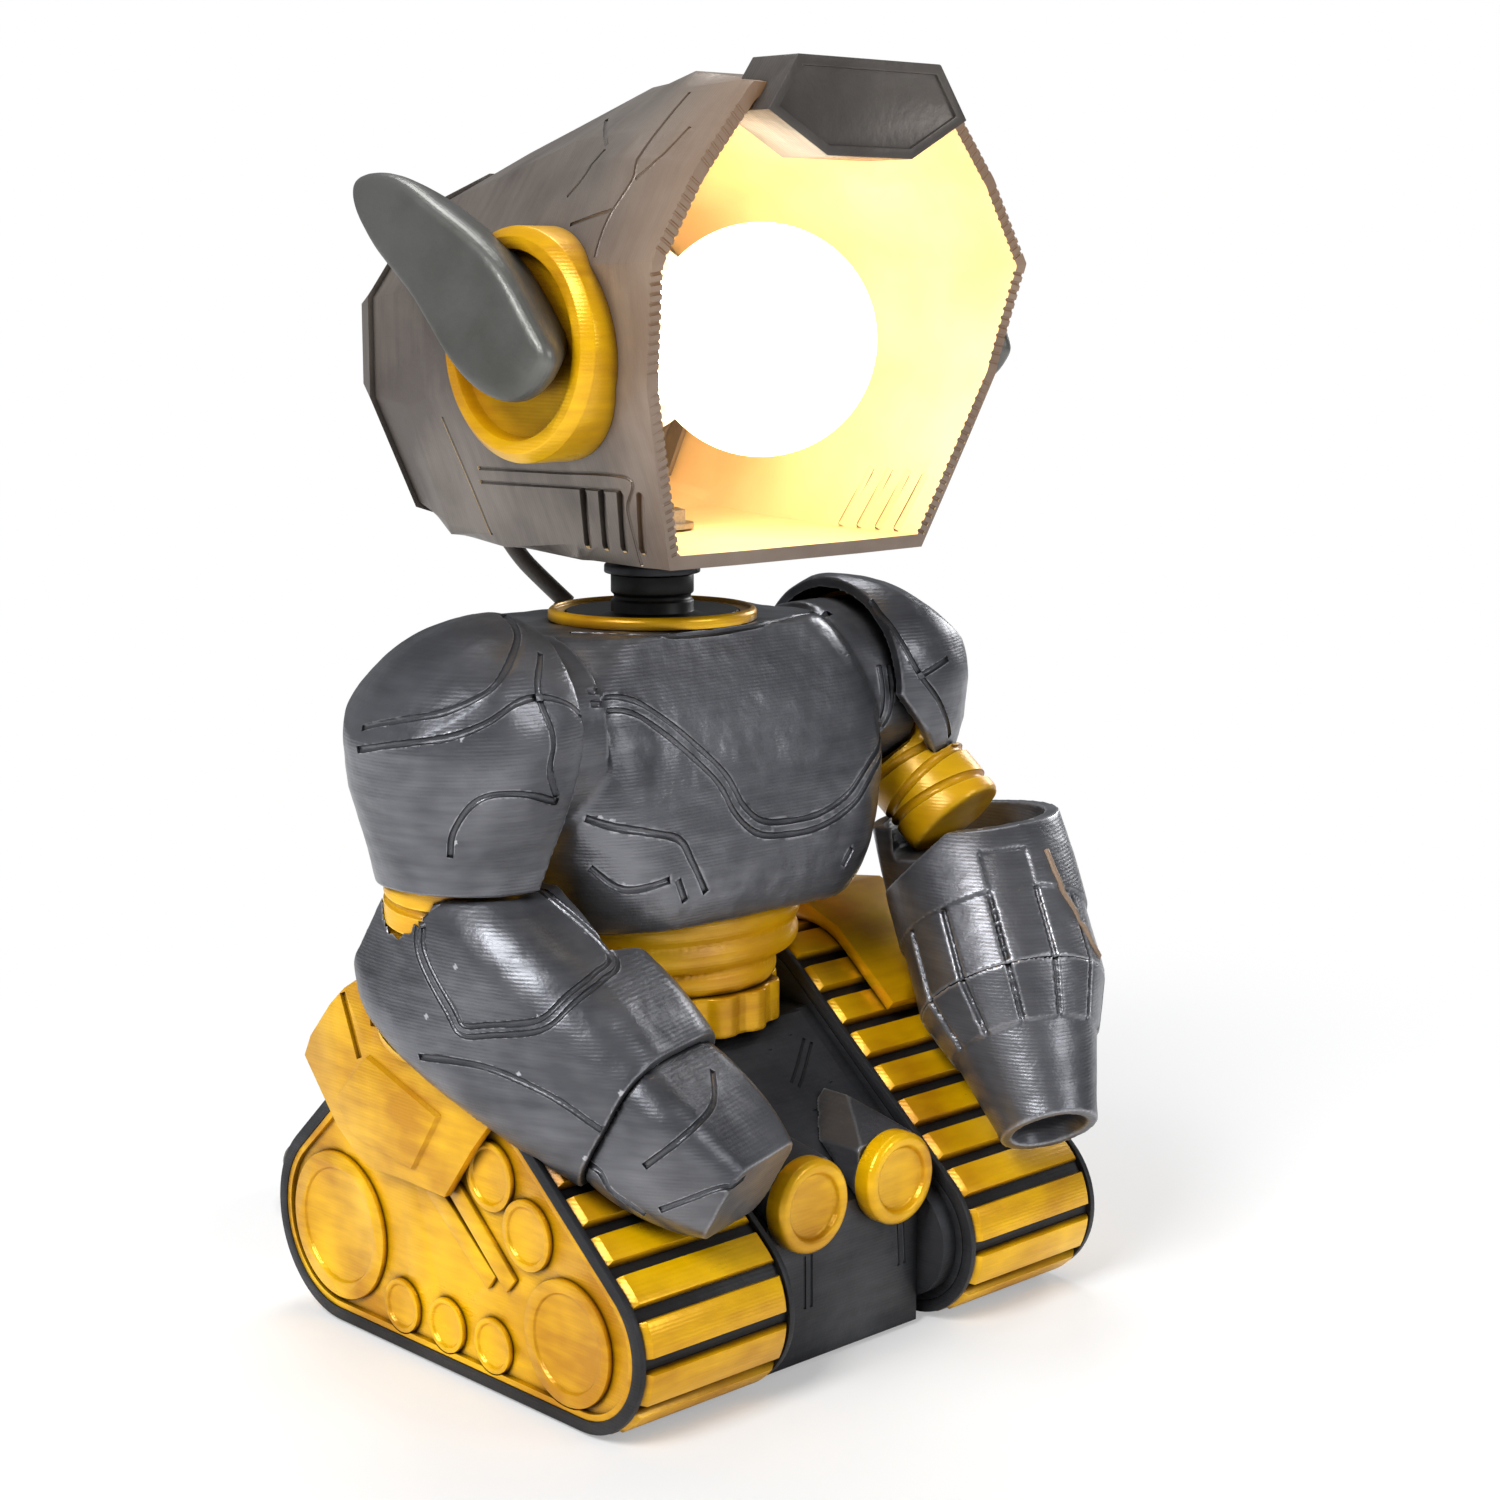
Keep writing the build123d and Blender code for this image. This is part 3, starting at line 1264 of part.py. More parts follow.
# ------------------------------------------------------------------ leads
def lead_part(points, label):
    """Tube of the lead along straight runs joined by the largest tangent arcs that fit."""
    knots = [Vector(*point) for point in points]
    radii = []
    with BuildPart() as tube:
        with BuildLine() as path:
            here = knots[0]
            for k in range(1, len(knots) - 1):
                before = knots[k] - knots[k - 1]
                after = knots[k + 1] - knots[k]
                half_turn = radians(before.get_angle(after)) / 2
                cut = 0.45 * min(before.length, after.length)
                radii.append(cut / tan(half_turn))
                enter = knots[k] - before.normalized() * cut
                leave = knots[k] + after.normalized() * cut
                Line(here, enter)
                TangentArc(enter, leave, tangent=before.normalized())
                here = leave
            Line(here, knots[-1])
        length = path.wires()[0].length
        with BuildSketch(Plane(origin=knots[0], z_dir=knots[1] - knots[0])):
            Circle(lead_r)
        sweep()
    share = tube.part.volume / (length * lead_r ** 2 * 3.14159265)
    print(label, "length", round(length, 1), "radii", [round(r, 1) for r in radii], "volume", round(share, 3))
    save(tube, label)
    return tube.part


with BuildPart() as head_gland:
    with BuildSketch(Plane(origin=Vector(*link_points[0]) + link_way * turn_gap, z_dir=link_way)):
        Circle(gland_r)
        Circle(lead_r, mode=Mode.SUBTRACT)
    extrude(amount=gland_len)
save(head_gland, "head_gland")

with BuildPart() as torso_grommet:
    with BuildSketch(Plane.XY.offset(chest_top_z - chest_wall - 1)):
        with Locations((grommet_x, grommet_y)):
            Circle(grommet_r - 0.65)
    extrude(amount=chest_wall + 1)
    with BuildSketch(Plane.XY.offset(chest_top_z)):
        with Locations((grommet_x, grommet_y)):
            Circle(grommet_r)
    extrude(amount=grommet_z - chest_top_z)
save(torso_grommet, "torso_grommet")

lead_part(link_points, "link_lead")
lead_part(mains_hull_points, "mains_lead_hull")
lead_part(mains_middle_points, "mains_lead_middle")
lead_part(mains_plug_points, "mains_lead_plug")

with BuildPart() as strain_relief:
    with BuildSketch(Plane(origin=(mains_x, 0, mains_z), x_dir=(0, 1, 0), z_dir=(1, 0, 0))):
        with BuildLine():
            Polyline(
                (relief_from_y, 0), (relief_from_y, relief_r), (mains_y - 22, relief_r),
                (mains_y, lead_r + 0.6), (mains_y, 0), (relief_from_y, 0),
            )
        make_face()
    revolve(axis=Axis((mains_x, 0, mains_z), (0, 1, 0)))
save(strain_relief, "strain_relief")

with BuildPart() as lead_coil:
    with BuildSketch():
        with Locations(coil_middle):
            Circle(coil_outer_r)
            Circle(coil_inner_r, mode=Mode.SUBTRACT)
    extrude(amount=coil_height)
    chamfer(lead_coil.edges().group_by(Axis.Z)[0] + lead_coil.edges().group_by(Axis.Z)[-1], 2.0)
save(lead_coil, "lead_coil")

# switch in the lead, and its rocker
switch_x = (mains_middle_points[-1][0] + mains_plug_points[0][0]) / 2
switch_y = mains_middle_points[-1][1]
pivot_z = switch_size[2] - 3.6
pivot_r = 1.0
pocket_depth = 3.0
rocker_plane = Plane(origin=(switch_x, switch_y, pivot_z), x_dir=(1, 0, 0), z_dir=(0, -1, 0))
with BuildPart() as switch_body:
    with Locations((switch_x, switch_y, 0)):
        Box(*switch_size, align=(Align.CENTER, Align.CENTER, Align.MIN))
    fillet(switch_body.edges().filter_by(Axis.Z), 8)
    chamfer(switch_body.edges().group_by(Axis.Z)[-1], 1.5)
    with BuildSketch(Plane.XY.offset(switch_size[2])):
        with Locations((switch_x, switch_y)):
            Rectangle(2 * (rocker_half + rocker_gap), rocker_wide + 2 * rocker_gap)
    extrude(amount=pivot_z - pocket_depth - switch_size[2], mode=Mode.SUBTRACT)
    with BuildSketch(rocker_plane):
        Circle(pivot_r + pin_gap)
    extrude(amount=rocker_wide / 2 + rocker_gap + 2, both=True, mode=Mode.SUBTRACT)
save(switch_body, "switch_body")

with BuildPart() as switch_rocker:
    with BuildSketch(rocker_plane):
        with Locations(Location((0, 0, 0), (0, 0, rocker_tilt))):
            Polygon(
                (-rocker_half, -1.2), (rocker_half, -1.2), (rocker_half, 4.8), (0, 3.7), (-rocker_half, 4.8),
                align=None,
            )
    extrude(amount=rocker_wide / 2, both=True)
    with BuildSketch(rocker_plane):
        Circle(pivot_r)
    extrude(amount=rocker_wide / 2 + rocker_gap + 1.5, both=True)
save(switch_rocker, "switch_rocker")

plug_x, plug_y, plug_z = mains_plug_points[-1]
with BuildPart() as plug_body:
    with Locations((plug_x, plug_y, 0)):
        Box(*plug_size, align=(Align.MAX, Align.CENTER, Align.MIN))
    chamfer(plug_body.edges(), 2.0)
save(plug_body, "plug_body")

with BuildPart() as plug_pins:
    with BuildSketch(Plane.YZ.offset(plug_x - plug_size[0])):
        with Locations((plug_y - plug_pin_spacing / 2, plug_z), (plug_y + plug_pin_spacing / 2, plug_z)):
            Circle(plug_pin_r)
    extrude(amount=-plug_pin_len)
    chamfer(plug_pins.edges().group_by(Axis.X)[0], 0.6)
save(plug_pins, "plug_pins")
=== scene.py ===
import json
import math

import bpy
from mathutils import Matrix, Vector


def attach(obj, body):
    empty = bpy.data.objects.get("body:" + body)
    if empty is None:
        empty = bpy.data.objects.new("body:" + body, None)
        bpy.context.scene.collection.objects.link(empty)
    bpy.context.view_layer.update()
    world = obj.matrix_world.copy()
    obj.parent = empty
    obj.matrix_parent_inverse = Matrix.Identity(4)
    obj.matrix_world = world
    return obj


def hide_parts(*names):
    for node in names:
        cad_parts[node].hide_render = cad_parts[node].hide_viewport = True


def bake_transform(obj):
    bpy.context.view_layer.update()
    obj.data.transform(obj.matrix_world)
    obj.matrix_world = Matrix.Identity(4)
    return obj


# Desk lamp in the shape of a robot on crawler tracks. Metres, +Z up, the robot looks along -Y.
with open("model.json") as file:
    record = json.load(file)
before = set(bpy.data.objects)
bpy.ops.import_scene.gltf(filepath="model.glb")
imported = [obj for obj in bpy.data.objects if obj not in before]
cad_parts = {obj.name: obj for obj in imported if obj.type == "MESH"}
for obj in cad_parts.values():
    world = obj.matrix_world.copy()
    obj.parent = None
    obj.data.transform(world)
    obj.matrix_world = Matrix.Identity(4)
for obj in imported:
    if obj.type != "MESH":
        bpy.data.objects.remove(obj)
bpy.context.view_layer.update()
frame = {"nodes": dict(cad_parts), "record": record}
NODES = frame["nodes"]
BODY_OF = {node: body for body, nodes in frame["record"]["behaviour"]["bodies"].items() for node in nodes}
SLOT_OF = {part["node"]: part["material_slot"] for part in frame["record"]["subparts"]}
MM = 0.001
WELD = 0.001         # mm: the caps of a bead are welded on at this distance
MERGE = 0.02         # mm: corners of the CAD mesh nearer than this are one corner
FLAT = 0.5           # degrees: its triangles that meet at less than this are one face
SHARP = 28           # degrees: edges sharper than this get a bevel
CREASE = 30          # degrees: shading runs smoothly over edges softer than this
SOFT_CREASE = 60     # degrees: the same on a remeshed piece, whose faces are tiny
DENT_SIZE = 14.0     # mm across a shallow dent
DENT_REST = 0.62     # share of a dent's depth that lies below the plain surface


# ---------------------------------------------------------------- bench tools
def mm(point):
    """A point given in millimetres, in metres."""
    return Vector(point) * MM


def pick(piece):
    """Only this piece is selected and active."""
    bpy.ops.object.select_all(action="DESELECT")
    piece.select_set(True)
    bpy.context.view_layer.objects.active = piece


def modify(piece, kind, **settings):
    """Add a modifier, set it and apply it."""
    pick(piece)
    bpy.ops.object.modifier_add(type=kind)
    modifier = piece.modifiers[-1]
    for key, value in settings.items():
        setattr(modifier, key, value)
    bpy.ops.object.modifier_apply(modifier=modifier.name)


def copy_of(node, name):
    """A copy of a CAD piece with its loose triangles merged into flat faces."""
    piece = bpy.data.objects.new(name, NODES[node].data.copy())
    bpy.context.scene.collection.objects.link(piece)
    piece.data.materials.clear()
    pick(piece)
    bpy.ops.object.mode_set(mode="EDIT")
    bpy.ops.mesh.select_all(action="SELECT")
    bpy.ops.mesh.remove_doubles(threshold=MERGE * MM)
    bpy.ops.mesh.customdata_custom_splitnormals_clear()
    bpy.ops.mesh.dissolve_limited(angle_limit=math.radians(FLAT))
    bpy.ops.object.mode_set(mode="OBJECT")
    return piece


def round_edges(piece, width):
    """Break every sharp edge with a small rounded bevel."""
    modify(piece, "BEVEL", width=width * MM, segments=2, limit_method="ANGLE",
           angle_limit=math.radians(SHARP))


def smooth(piece, angle=CREASE):
    """Shade smooth across faces that meet at less than the angle."""
    pick(piece)
    bpy.ops.object.shade_smooth_by_angle(angle=math.radians(angle))


def weather(piece, dent):
    """Soften a piece made of small faces and press shallow dents of this depth into it."""
    modify(piece, "SMOOTH", factor=0.4, iterations=1)
    if dent:
        clouds = bpy.data.textures.new(piece.name + "_dents", "CLOUDS")
        clouds.noise_scale = DENT_SIZE * MM
        clouds.noise_depth = 2
        modify(piece, "DISPLACE", texture=clouds, strength=dent * MM, mid_level=DENT_REST,
               texture_coords="LOCAL")
    smooth(piece, SOFT_CREASE)


def trace(points, step=1.6, closed=False):
    """Points along a smooth line through the given ones, a step apart, in metres."""
    knots = [mm(point) for point in points]
    if closed:
        knots = [knots[-1]] + knots + knots[:2]
    else:
        knots = [2 * knots[0] - knots[1]] + knots + [2 * knots[-1] - knots[-2]]
    line = []
    for a, b, c, d in zip(knots, knots[1:], knots[2:], knots[3:]):
        count = max(2, round((c - b).length / (step * MM)))
        for k in range(count):
            t = k / count
            line.append(0.5 * ((2 * b) + (c - a) * t + (2 * a - 5 * b + 4 * c - d) * t * t
                               + (3 * b - a - 3 * c + d) * t ** 3))
    if not closed:
        line.append(knots[-2])
    return line


def seat_line(piece, line, aside=0.0, lift=0.0):
    """Lay a line on the surface of a piece, moved aside along the surface and lifted off it."""
    seated = []
    for k, point in enumerate(line):
        way = (line[min(k + 1, len(line) - 1)] - line[max(k - 1, 0)]).normalized()
        _, spot, normal, _ = piece.closest_point_on_mesh(point)
        spot = spot + way.cross(normal).normalized() * aside * MM
        _, spot, normal, _ = piece.closest_point_on_mesh(spot)
        seated.append(spot + normal * lift * MM)
    return seated


def bead(name, line, radius, closed=False):
    """A round bead along a line, as a closed mesh."""
    curve = bpy.data.curves.new(name, "CURVE")
    curve.dimensions = "3D"
    curve.bevel_depth = radius * MM
    curve.bevel_resolution = 2
    curve.use_fill_caps = not closed
    spline = curve.splines.new("POLY")
    spline.points.add(len(line) - 1)
    for spot, point in zip(spline.points, line):
        spot.co = (*point, 1)
    spline.use_cyclic_u = closed
    tool = bpy.data.objects.new(name, curve)
    bpy.context.scene.collection.objects.link(tool)
    pick(tool)
    bpy.ops.object.convert(target="MESH")
    bpy.ops.object.mode_set(mode="EDIT")
    bpy.ops.mesh.select_all(action="SELECT")
    bpy.ops.mesh.remove_doubles(threshold=WELD * MM)
    bpy.ops.object.mode_set(mode="OBJECT")
    return bpy.context.object


def joined(tools):
    """Several tools as one mesh."""
    bpy.ops.object.select_all(action="DESELECT")
    for tool in tools:
        tool.select_set(True)
    bpy.context.view_layer.objects.active = tools[0]
    bpy.ops.object.join()
    return bpy.context.object


def cut_away(piece, tool, operation="DIFFERENCE", solver="MANIFOLD"):
    """Cut a tool out of a piece, or join it on, and throw the tool away."""
    modify(piece, "BOOLEAN", operation=operation, object=tool, solver=solver)
    bpy.data.objects.remove(tool)


def grooves(piece, lines, radius, pair=0.0, closed=False):
    """Round beads to cut a groove, or a pair of grooves a distance apart, along each line on a piece."""
    beads = []
    for points in lines:
        line = trace(points, closed=closed)
        for aside in ((-pair / 2, pair / 2) if pair else (0.0,)):
            beads.append(bead("groove", seat_line(piece, line, aside), radius, closed))
    return beads


def emboss(piece, points, radius, sink):
    """Add a raised bead along a line on a piece, sunk a little into it."""
    seated = seat_line(piece, trace(points), lift=-sink)
    cut_away(piece, bead("raised", seated, radius), "UNION", "EXACT")


def mirrored(points):
    """The same line on the other side of the object."""
    return [(-x, y, z) for x, y, z in points]


def dress(piece, *finishes):
    """Give a piece these materials and no others. Cutting leaves empty places, which go first."""
    piece.data.materials.clear()
    for made in finishes:
        piece.data.materials.append(made)


def finish(piece, node):
    """Let a piece ride on the body of its CAD node and stand for that node."""
    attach(piece, BODY_OF[node])
    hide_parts(node)


# ---------------------------------------------------------------- finishes
def tone(hex_code):
    """An sRGB hex colour as linear RGBA."""
    channels = [int(hex_code[k:k + 2], 16) / 255 for k in (0, 2, 4)]
    return (*[c / 12.92 if c <= 0.04045 else ((c + 0.055) / 1.055) ** 2.4 for c in channels], 1.0)


def add_node(tree, kind, inputs=None, **settings):
    """Add a node with its settings, values and links."""
    made = tree.nodes.new(kind)
    for key, value in settings.items():
        setattr(made, key, value)
    for key, value in (inputs or {}).items():
        if isinstance(value, bpy.types.NodeSocket):
            tree.links.new(value, made.inputs[key])
        else:
            made.inputs[key].default_value = value
    return made


def per_mm(size):
    """Noise scale whose features are about this many millimetres across."""
    return 1 / (size * MM)


LAYER = 0.9              # mm from one layer line to the next: the real 0.2 mm is too fine to show
LAYER_HEIGHT = 0.1       # mm that a layer line stands proud
PATCH = 34.0             # mm across a soft patch of paler or darker wax
STREAK_ACROSS = 2.381    # mm from one rubbed streak to the next
STREAK_ALONG = 16.667    # mm from end to end of a streak
PIT = 9.0                # mm across the largest pits, which five octaves break up
PIT_DEPTH = 1.2          # mm
SHADE_REACH = 5.0             # mm: surfaces this near to each other get the painted shade colour
GRAIN = 0.6              # mm across the grain of a moulded skin
GRAIN_DEPTH = 0.1        # mm
SPECK = 0.15             # share by which that grain is paler or darker
GLOW_FROM, GLOW_TO = -30, -66    # mm along Y, where the painted glow of the lamp's light through the shell starts and is full


def blank(name):
    """A new node material with its shader and Object coordinates."""
    made = bpy.data.materials.new(name)
    made.use_nodes = True
    tree = made.node_tree
    tree.nodes.clear()
    shader = add_node(tree, "ShaderNodeBsdfPrincipled")
    add_node(tree, "ShaderNodeOutputMaterial", {"Surface": shader.outputs[0]})
    place = add_node(tree, "ShaderNodeTexCoord").outputs["Object"]
    return made, tree, shader, place


def printed_plastic(name, painted_shade, dark, light, metallic, rough, edge_wear_and_highlight=None, layer_axis="Z", dents=0.3,
                    painted_glow=False):
    """PLA printed in layers and rubbed with wax: fine parallel layer lines, soft streaks along them, painted
    shade in the hollows, paler edges where a wear colour is given (rubbed wear with a painted edge
    highlight), and small pits."""
    made, tree, shader, place = blank(name)
    # the wax: large patches with rubbed streaks over them
    patches = add_node(tree, "ShaderNodeTexNoise", {"Vector": place, "Scale": per_mm(PATCH), "Detail": 3.0})
    stretch = [per_mm(STREAK_ACROSS if axis == layer_axis else STREAK_ALONG) for axis in "XYZ"]
    along = add_node(tree, "ShaderNodeMapping", {"Vector": place, "Scale": stretch})
    streaks = add_node(tree, "ShaderNodeTexNoise", {"Vector": along.outputs[0], "Scale": 1.0})
    most = add_node(tree, "ShaderNodeMath", {0: patches.outputs["Fac"], 1: 0.8}, operation="MULTIPLY")
    wax = add_node(tree, "ShaderNodeMath", {0: streaks.outputs["Fac"], 1: 0.2, 2: most.outputs[0]},
                   operation="MULTIPLY_ADD")
    ramp = add_node(tree, "ShaderNodeValToRGB", {"Fac": wax.outputs[0]})
    stops = ramp.color_ramp.elements
    stops[0].position, stops[0].color = 0.38, tone(dark)
    stops[1].position, stops[1].color = 0.62, tone(light)
    # painted shade: the shade colour laid into the hollows by ambient occlusion
    open_sky = add_node(tree, "ShaderNodeAmbientOcclusion", {"Distance": SHADE_REACH * MM}, samples=6)
    painted_shade_share = add_node(tree, "ShaderNodeMapRange", {
        "Value": open_sky.outputs["AO"], "From Min": 0.82, "From Max": 0.4, "To Min": 0.0, "To Max": 0.95})
    coloured = add_node(tree, "ShaderNodeMix", {"Factor": painted_shade_share.outputs[0]}, data_type="RGBA")
    tree.links.new(ramp.outputs["Color"], coloured.inputs["A"])
    coloured.inputs["B"].default_value = tone(painted_shade)
    # paler edges found from pointiness: partly rubbed wear, partly a painted edge highlight
    if edge_wear_and_highlight:
        bend = add_node(tree, "ShaderNodeNewGeometry").outputs["Pointiness"]
        on_edge = add_node(tree, "ShaderNodeMapRange", {
            "Value": bend, "From Min": 0.512, "From Max": 0.575, "To Min": 0.0, "To Max": 0.85})
        worn_lit_edge = add_node(tree, "ShaderNodeMix", {"Factor": on_edge.outputs[0]}, data_type="RGBA")
        tree.links.new(coloured.outputs["Result"], worn_lit_edge.inputs["A"])
        worn_lit_edge.inputs["B"].default_value = tone(edge_wear_and_highlight)
        coloured = worn_lit_edge
    tree.links.new(coloured.outputs["Result"], shader.inputs["Base Color"])
    shader.inputs["Metallic"].default_value = metallic
    polish = add_node(tree, "ShaderNodeMapRange", {
        "Value": wax.outputs[0], "From Min": 0.35, "From Max": 0.65,
        "To Min": rough + 0.06, "To Max": rough - 0.06})
    tree.links.new(polish.outputs[0], shader.inputs["Roughness"])
    # the skin: pits with the layer lines over them
    pits = add_node(tree, "ShaderNodeTexNoise", {"Vector": place, "Scale": per_mm(PIT), "Detail": 5.0,
                                                 "Roughness": 0.6})
    pitted = add_node(tree, "ShaderNodeBump", {"Height": pits.outputs["Fac"], "Strength": dents,
                                               "Distance": PIT_DEPTH * MM})
    # a wave texture has a band every pi / 10 of its own units
    lines = add_node(tree, "ShaderNodeTexWave", {
        "Vector": place, "Scale": math.pi / 10 * per_mm(LAYER),
        "Distortion": 0.3, "Detail": 1.0, "Detail Scale": 1.0}, wave_type="BANDS", bands_direction=layer_axis)
    layered = add_node(tree, "ShaderNodeBump", {"Height": lines.outputs["Fac"], "Strength": 0.2,
                                                "Distance": LAYER_HEIGHT * MM, "Normal": pitted.outputs[0]})
    tree.links.new(layered.outputs[0], shader.inputs["Normal"])
    if painted_glow:
        # painted glow: emission standing for the lamp's light through the thin shell near the opening
        depth = add_node(tree, "ShaderNodeSeparateXYZ", {"Vector": place})
        near = add_node(tree, "ShaderNodeMapRange", {
            "Value": depth.outputs["Y"], "From Min": GLOW_FROM * MM, "From Max": GLOW_TO * MM})
        amber = add_node(tree, "ShaderNodeMix", {"Factor": near.outputs[0]}, data_type="RGBA")
        amber.inputs["A"].default_value = tone("000000")
        amber.inputs["B"].default_value = tone("8a6238")
        tree.links.new(amber.outputs["Result"], shader.inputs["Emission Color"])
        shader.inputs["Emission Strength"].default_value = 0.6
    return made


def moulded(name, colour, rough, metallic=0.0):
    """A moulded, rolled or turned part: one colour with a fine grain."""
    made, tree, shader, place = blank(name)
    noise = add_node(tree, "ShaderNodeTexNoise", {"Vector": place, "Scale": per_mm(GRAIN), "Detail": 3.0})
    shift = add_node(tree, "ShaderNodeMapRange", {
        "Value": noise.outputs["Fac"], "From Min": 0.3, "From Max": 0.7,
        "To Min": 1 - SPECK, "To Max": 1 + SPECK})
    tint = add_node(tree, "ShaderNodeVectorMath", {0: tone(colour)[:3], "Scale": shift.outputs[0]},
                    operation="SCALE")
    tree.links.new(tint.outputs["Vector"], shader.inputs["Base Color"])
    shader.inputs["Roughness"].default_value = rough
    shader.inputs["Metallic"].default_value = metallic
    grained = add_node(tree, "ShaderNodeBump", {"Height": noise.outputs["Fac"], "Strength": 0.2,
                                                "Distance": GRAIN_DEPTH * MM})
    tree.links.new(grained.outputs[0], shader.inputs["Normal"])
    return made


def shell_inside():
    """Bare pale inside of the helmet, rubbed smooth: cream, so that it throws the light forward."""
    made, tree, shader, place = blank("helmet_inside_cream")
    drift = add_node(tree, "ShaderNodeTexNoise", {"Vector": place, "Scale": per_mm(20), "Detail": 3.0})
    ramp = add_node(tree, "ShaderNodeValToRGB", {"Fac": drift.outputs["Fac"]})
    ramp.color_ramp.elements[0].color = tone("e0bb80")
    ramp.color_ramp.elements[1].color = tone("efd5a6")
    tree.links.new(ramp.outputs["Color"], shader.inputs["Base Color"])
    shader.inputs["Roughness"].default_value = 0.5
    return made


def lit_glass():
    """Blown opal glass with the lamp on: even warm white light."""
    made, tree, shader, place = blank("opal_glass_lit")
    drift = add_node(tree, "ShaderNodeTexNoise", {"Vector": place, "Scale": per_mm(30)})
    ramp = add_node(tree, "ShaderNodeValToRGB", {"Fac": drift.outputs["Fac"]})
    ramp.color_ramp.elements[0].color = tone("fff0d2")
    ramp.color_ramp.elements[1].color = tone("fff4dd")
    tree.links.new(ramp.outputs["Color"], shader.inputs["Base Color"])
    tree.links.new(ramp.outputs["Color"], shader.inputs["Emission Color"])
    shader.inputs["Emission Strength"].default_value = 6.5
    shader.inputs["Roughness"].default_value = 0.2
    return made


# each printed finish below is given a painted shade colour, laid into its hollows
# grey PLA rubbed with graphite wax: satin like old steel, paler along every edge, rubbed wear with a painted
# highlight
grey_print = printed_plastic("grey_printed_pla", painted_shade="141517", dark="54555a", light="7c7d82",
                             edge_wear_and_highlight="c8c9ce", metallic=0.7, rough=0.36)
# warm grey PLA printed lying on its back: brownish and dull, with a painted glow near the opening
helmet_print = printed_plastic("helmet_printed_pla", painted_shade="2a2623", dark="655d58", light="827971",
                               metallic=0.35, rough=0.42, layer_axis="Y", painted_glow=True)
# the same print waxed darker: a slate plate
brow_print = printed_plastic("brow_printed_pla", painted_shade="2a2623", dark="4e4946", light="67615c",
                             metallic=0.45, rough=0.4, layer_axis="Y")
# grey PLA printed on its side: a smooth pebble with pale ridges, rubbed wear with a painted highlight
horn_print = printed_plastic("horn_printed_pla", painted_shade="232323", dark="54544f", light="6c6c69",
                             edge_wear_and_highlight="a2a19c", metallic=0.5, rough=0.4, layer_axis="X")
# yellow PLA rubbed with gold wax: golden, with brown painted shade in the corners
yellow_print = printed_plastic("golden_printed_pla", painted_shade="4e2e00", dark="ca8c00", light="ffc600",
                               metallic=0.28, rough=0.33, dents=0.2)
# the same on the round limbs: cleaner, with lemon ridges that are rubbed wear with a painted highlight
limb_print = printed_plastic("golden_limb_print", painted_shade="6a4000", dark="d89600", light="f8be06",
                             edge_wear_and_highlight="ffdc50", metallic=0.1, rough=0.35, dents=0.1)
# black PLA rubbed with a little graphite: charcoal, coarse and pitted
charcoal_print = printed_plastic("charcoal_printed_pla", painted_shade="0e0f10", dark="303135", light="46474b",
                                 metallic=0.5, rough=0.42, dents=0.4)
# the same on small parts, pale along the edges: rubbed wear with a painted highlight
hood_print = printed_plastic("hood_printed_pla", painted_shade="0e0f10", dark="35363a", light="4c4d51",
                             edge_wear_and_highlight="909195", metallic=0.5, rough=0.42, dents=0.4)
# black PLA as it came from the printer: sooty, so that the treads stand out
belt_print = printed_plastic("belt_printed_pla", painted_shade="0c0c0d", dark="222326", light="303134",
                             metallic=0.35, rough=0.5)
# bare tan PLA where the wax is rubbed through: a dull strip
tan_edge = moulded("tan_bare_print_edge", "8a7460", rough=0.55)
# injection moulded ABS: black with a soft shine
black_plastic = moulded("black_abs_moulded", "141414", rough=0.42)
# moulded rubber: black and quite dull
soft_rubber = moulded("black_rubber_moulded", "111111", rough=0.8)
# turned steel, zinc plated: pale grey metal
zinc_steel = moulded("zinc_plated_steel", "9a9b9d", rough=0.35, metallic=1.0)
# aluminium sheet rolled into the bulb's screw cap: bright metal
cap_aluminium = moulded("rolled_aluminium", "c9c7c2", rough=0.3, metallic=1.0)
# extruded vinyl: a grey brown jacket, satin
lead_vinyl = moulded("grey_vinyl_jacket", "5d5650", rough=0.5)
# pressed heatproof plastic of the lamp holder: off white, half matt
white_plastic = moulded("white_heatproof_plastic", "dcd7cc", rough=0.45)
# turned brass under a thin plating: pale gold metal
pin_brass = moulded("nickel_plated_brass", "c8b27a", rough=0.28, metallic=1.0)
cream_inside = shell_inside()
opal_glass = lit_glass()

SLOT_FINISH = {
    "grey_print": grey_print, "yellow_print": yellow_print, "charcoal_print": charcoal_print,
    "black_plastic": black_plastic, "rubber": soft_rubber, "steel": zinc_steel,
    "aluminium_cap": cap_aluminium, "bulb_glass": opal_glass, "lead_jacket": lead_vinyl,
    "white_holder": white_plastic, "pin_brass": pin_brass,
}
# every CAD piece takes the finish of its slot; the pieces made below stand for most of them
for node, thing in NODES.items():
    dress(thing, SLOT_FINISH[SLOT_OF[node]])

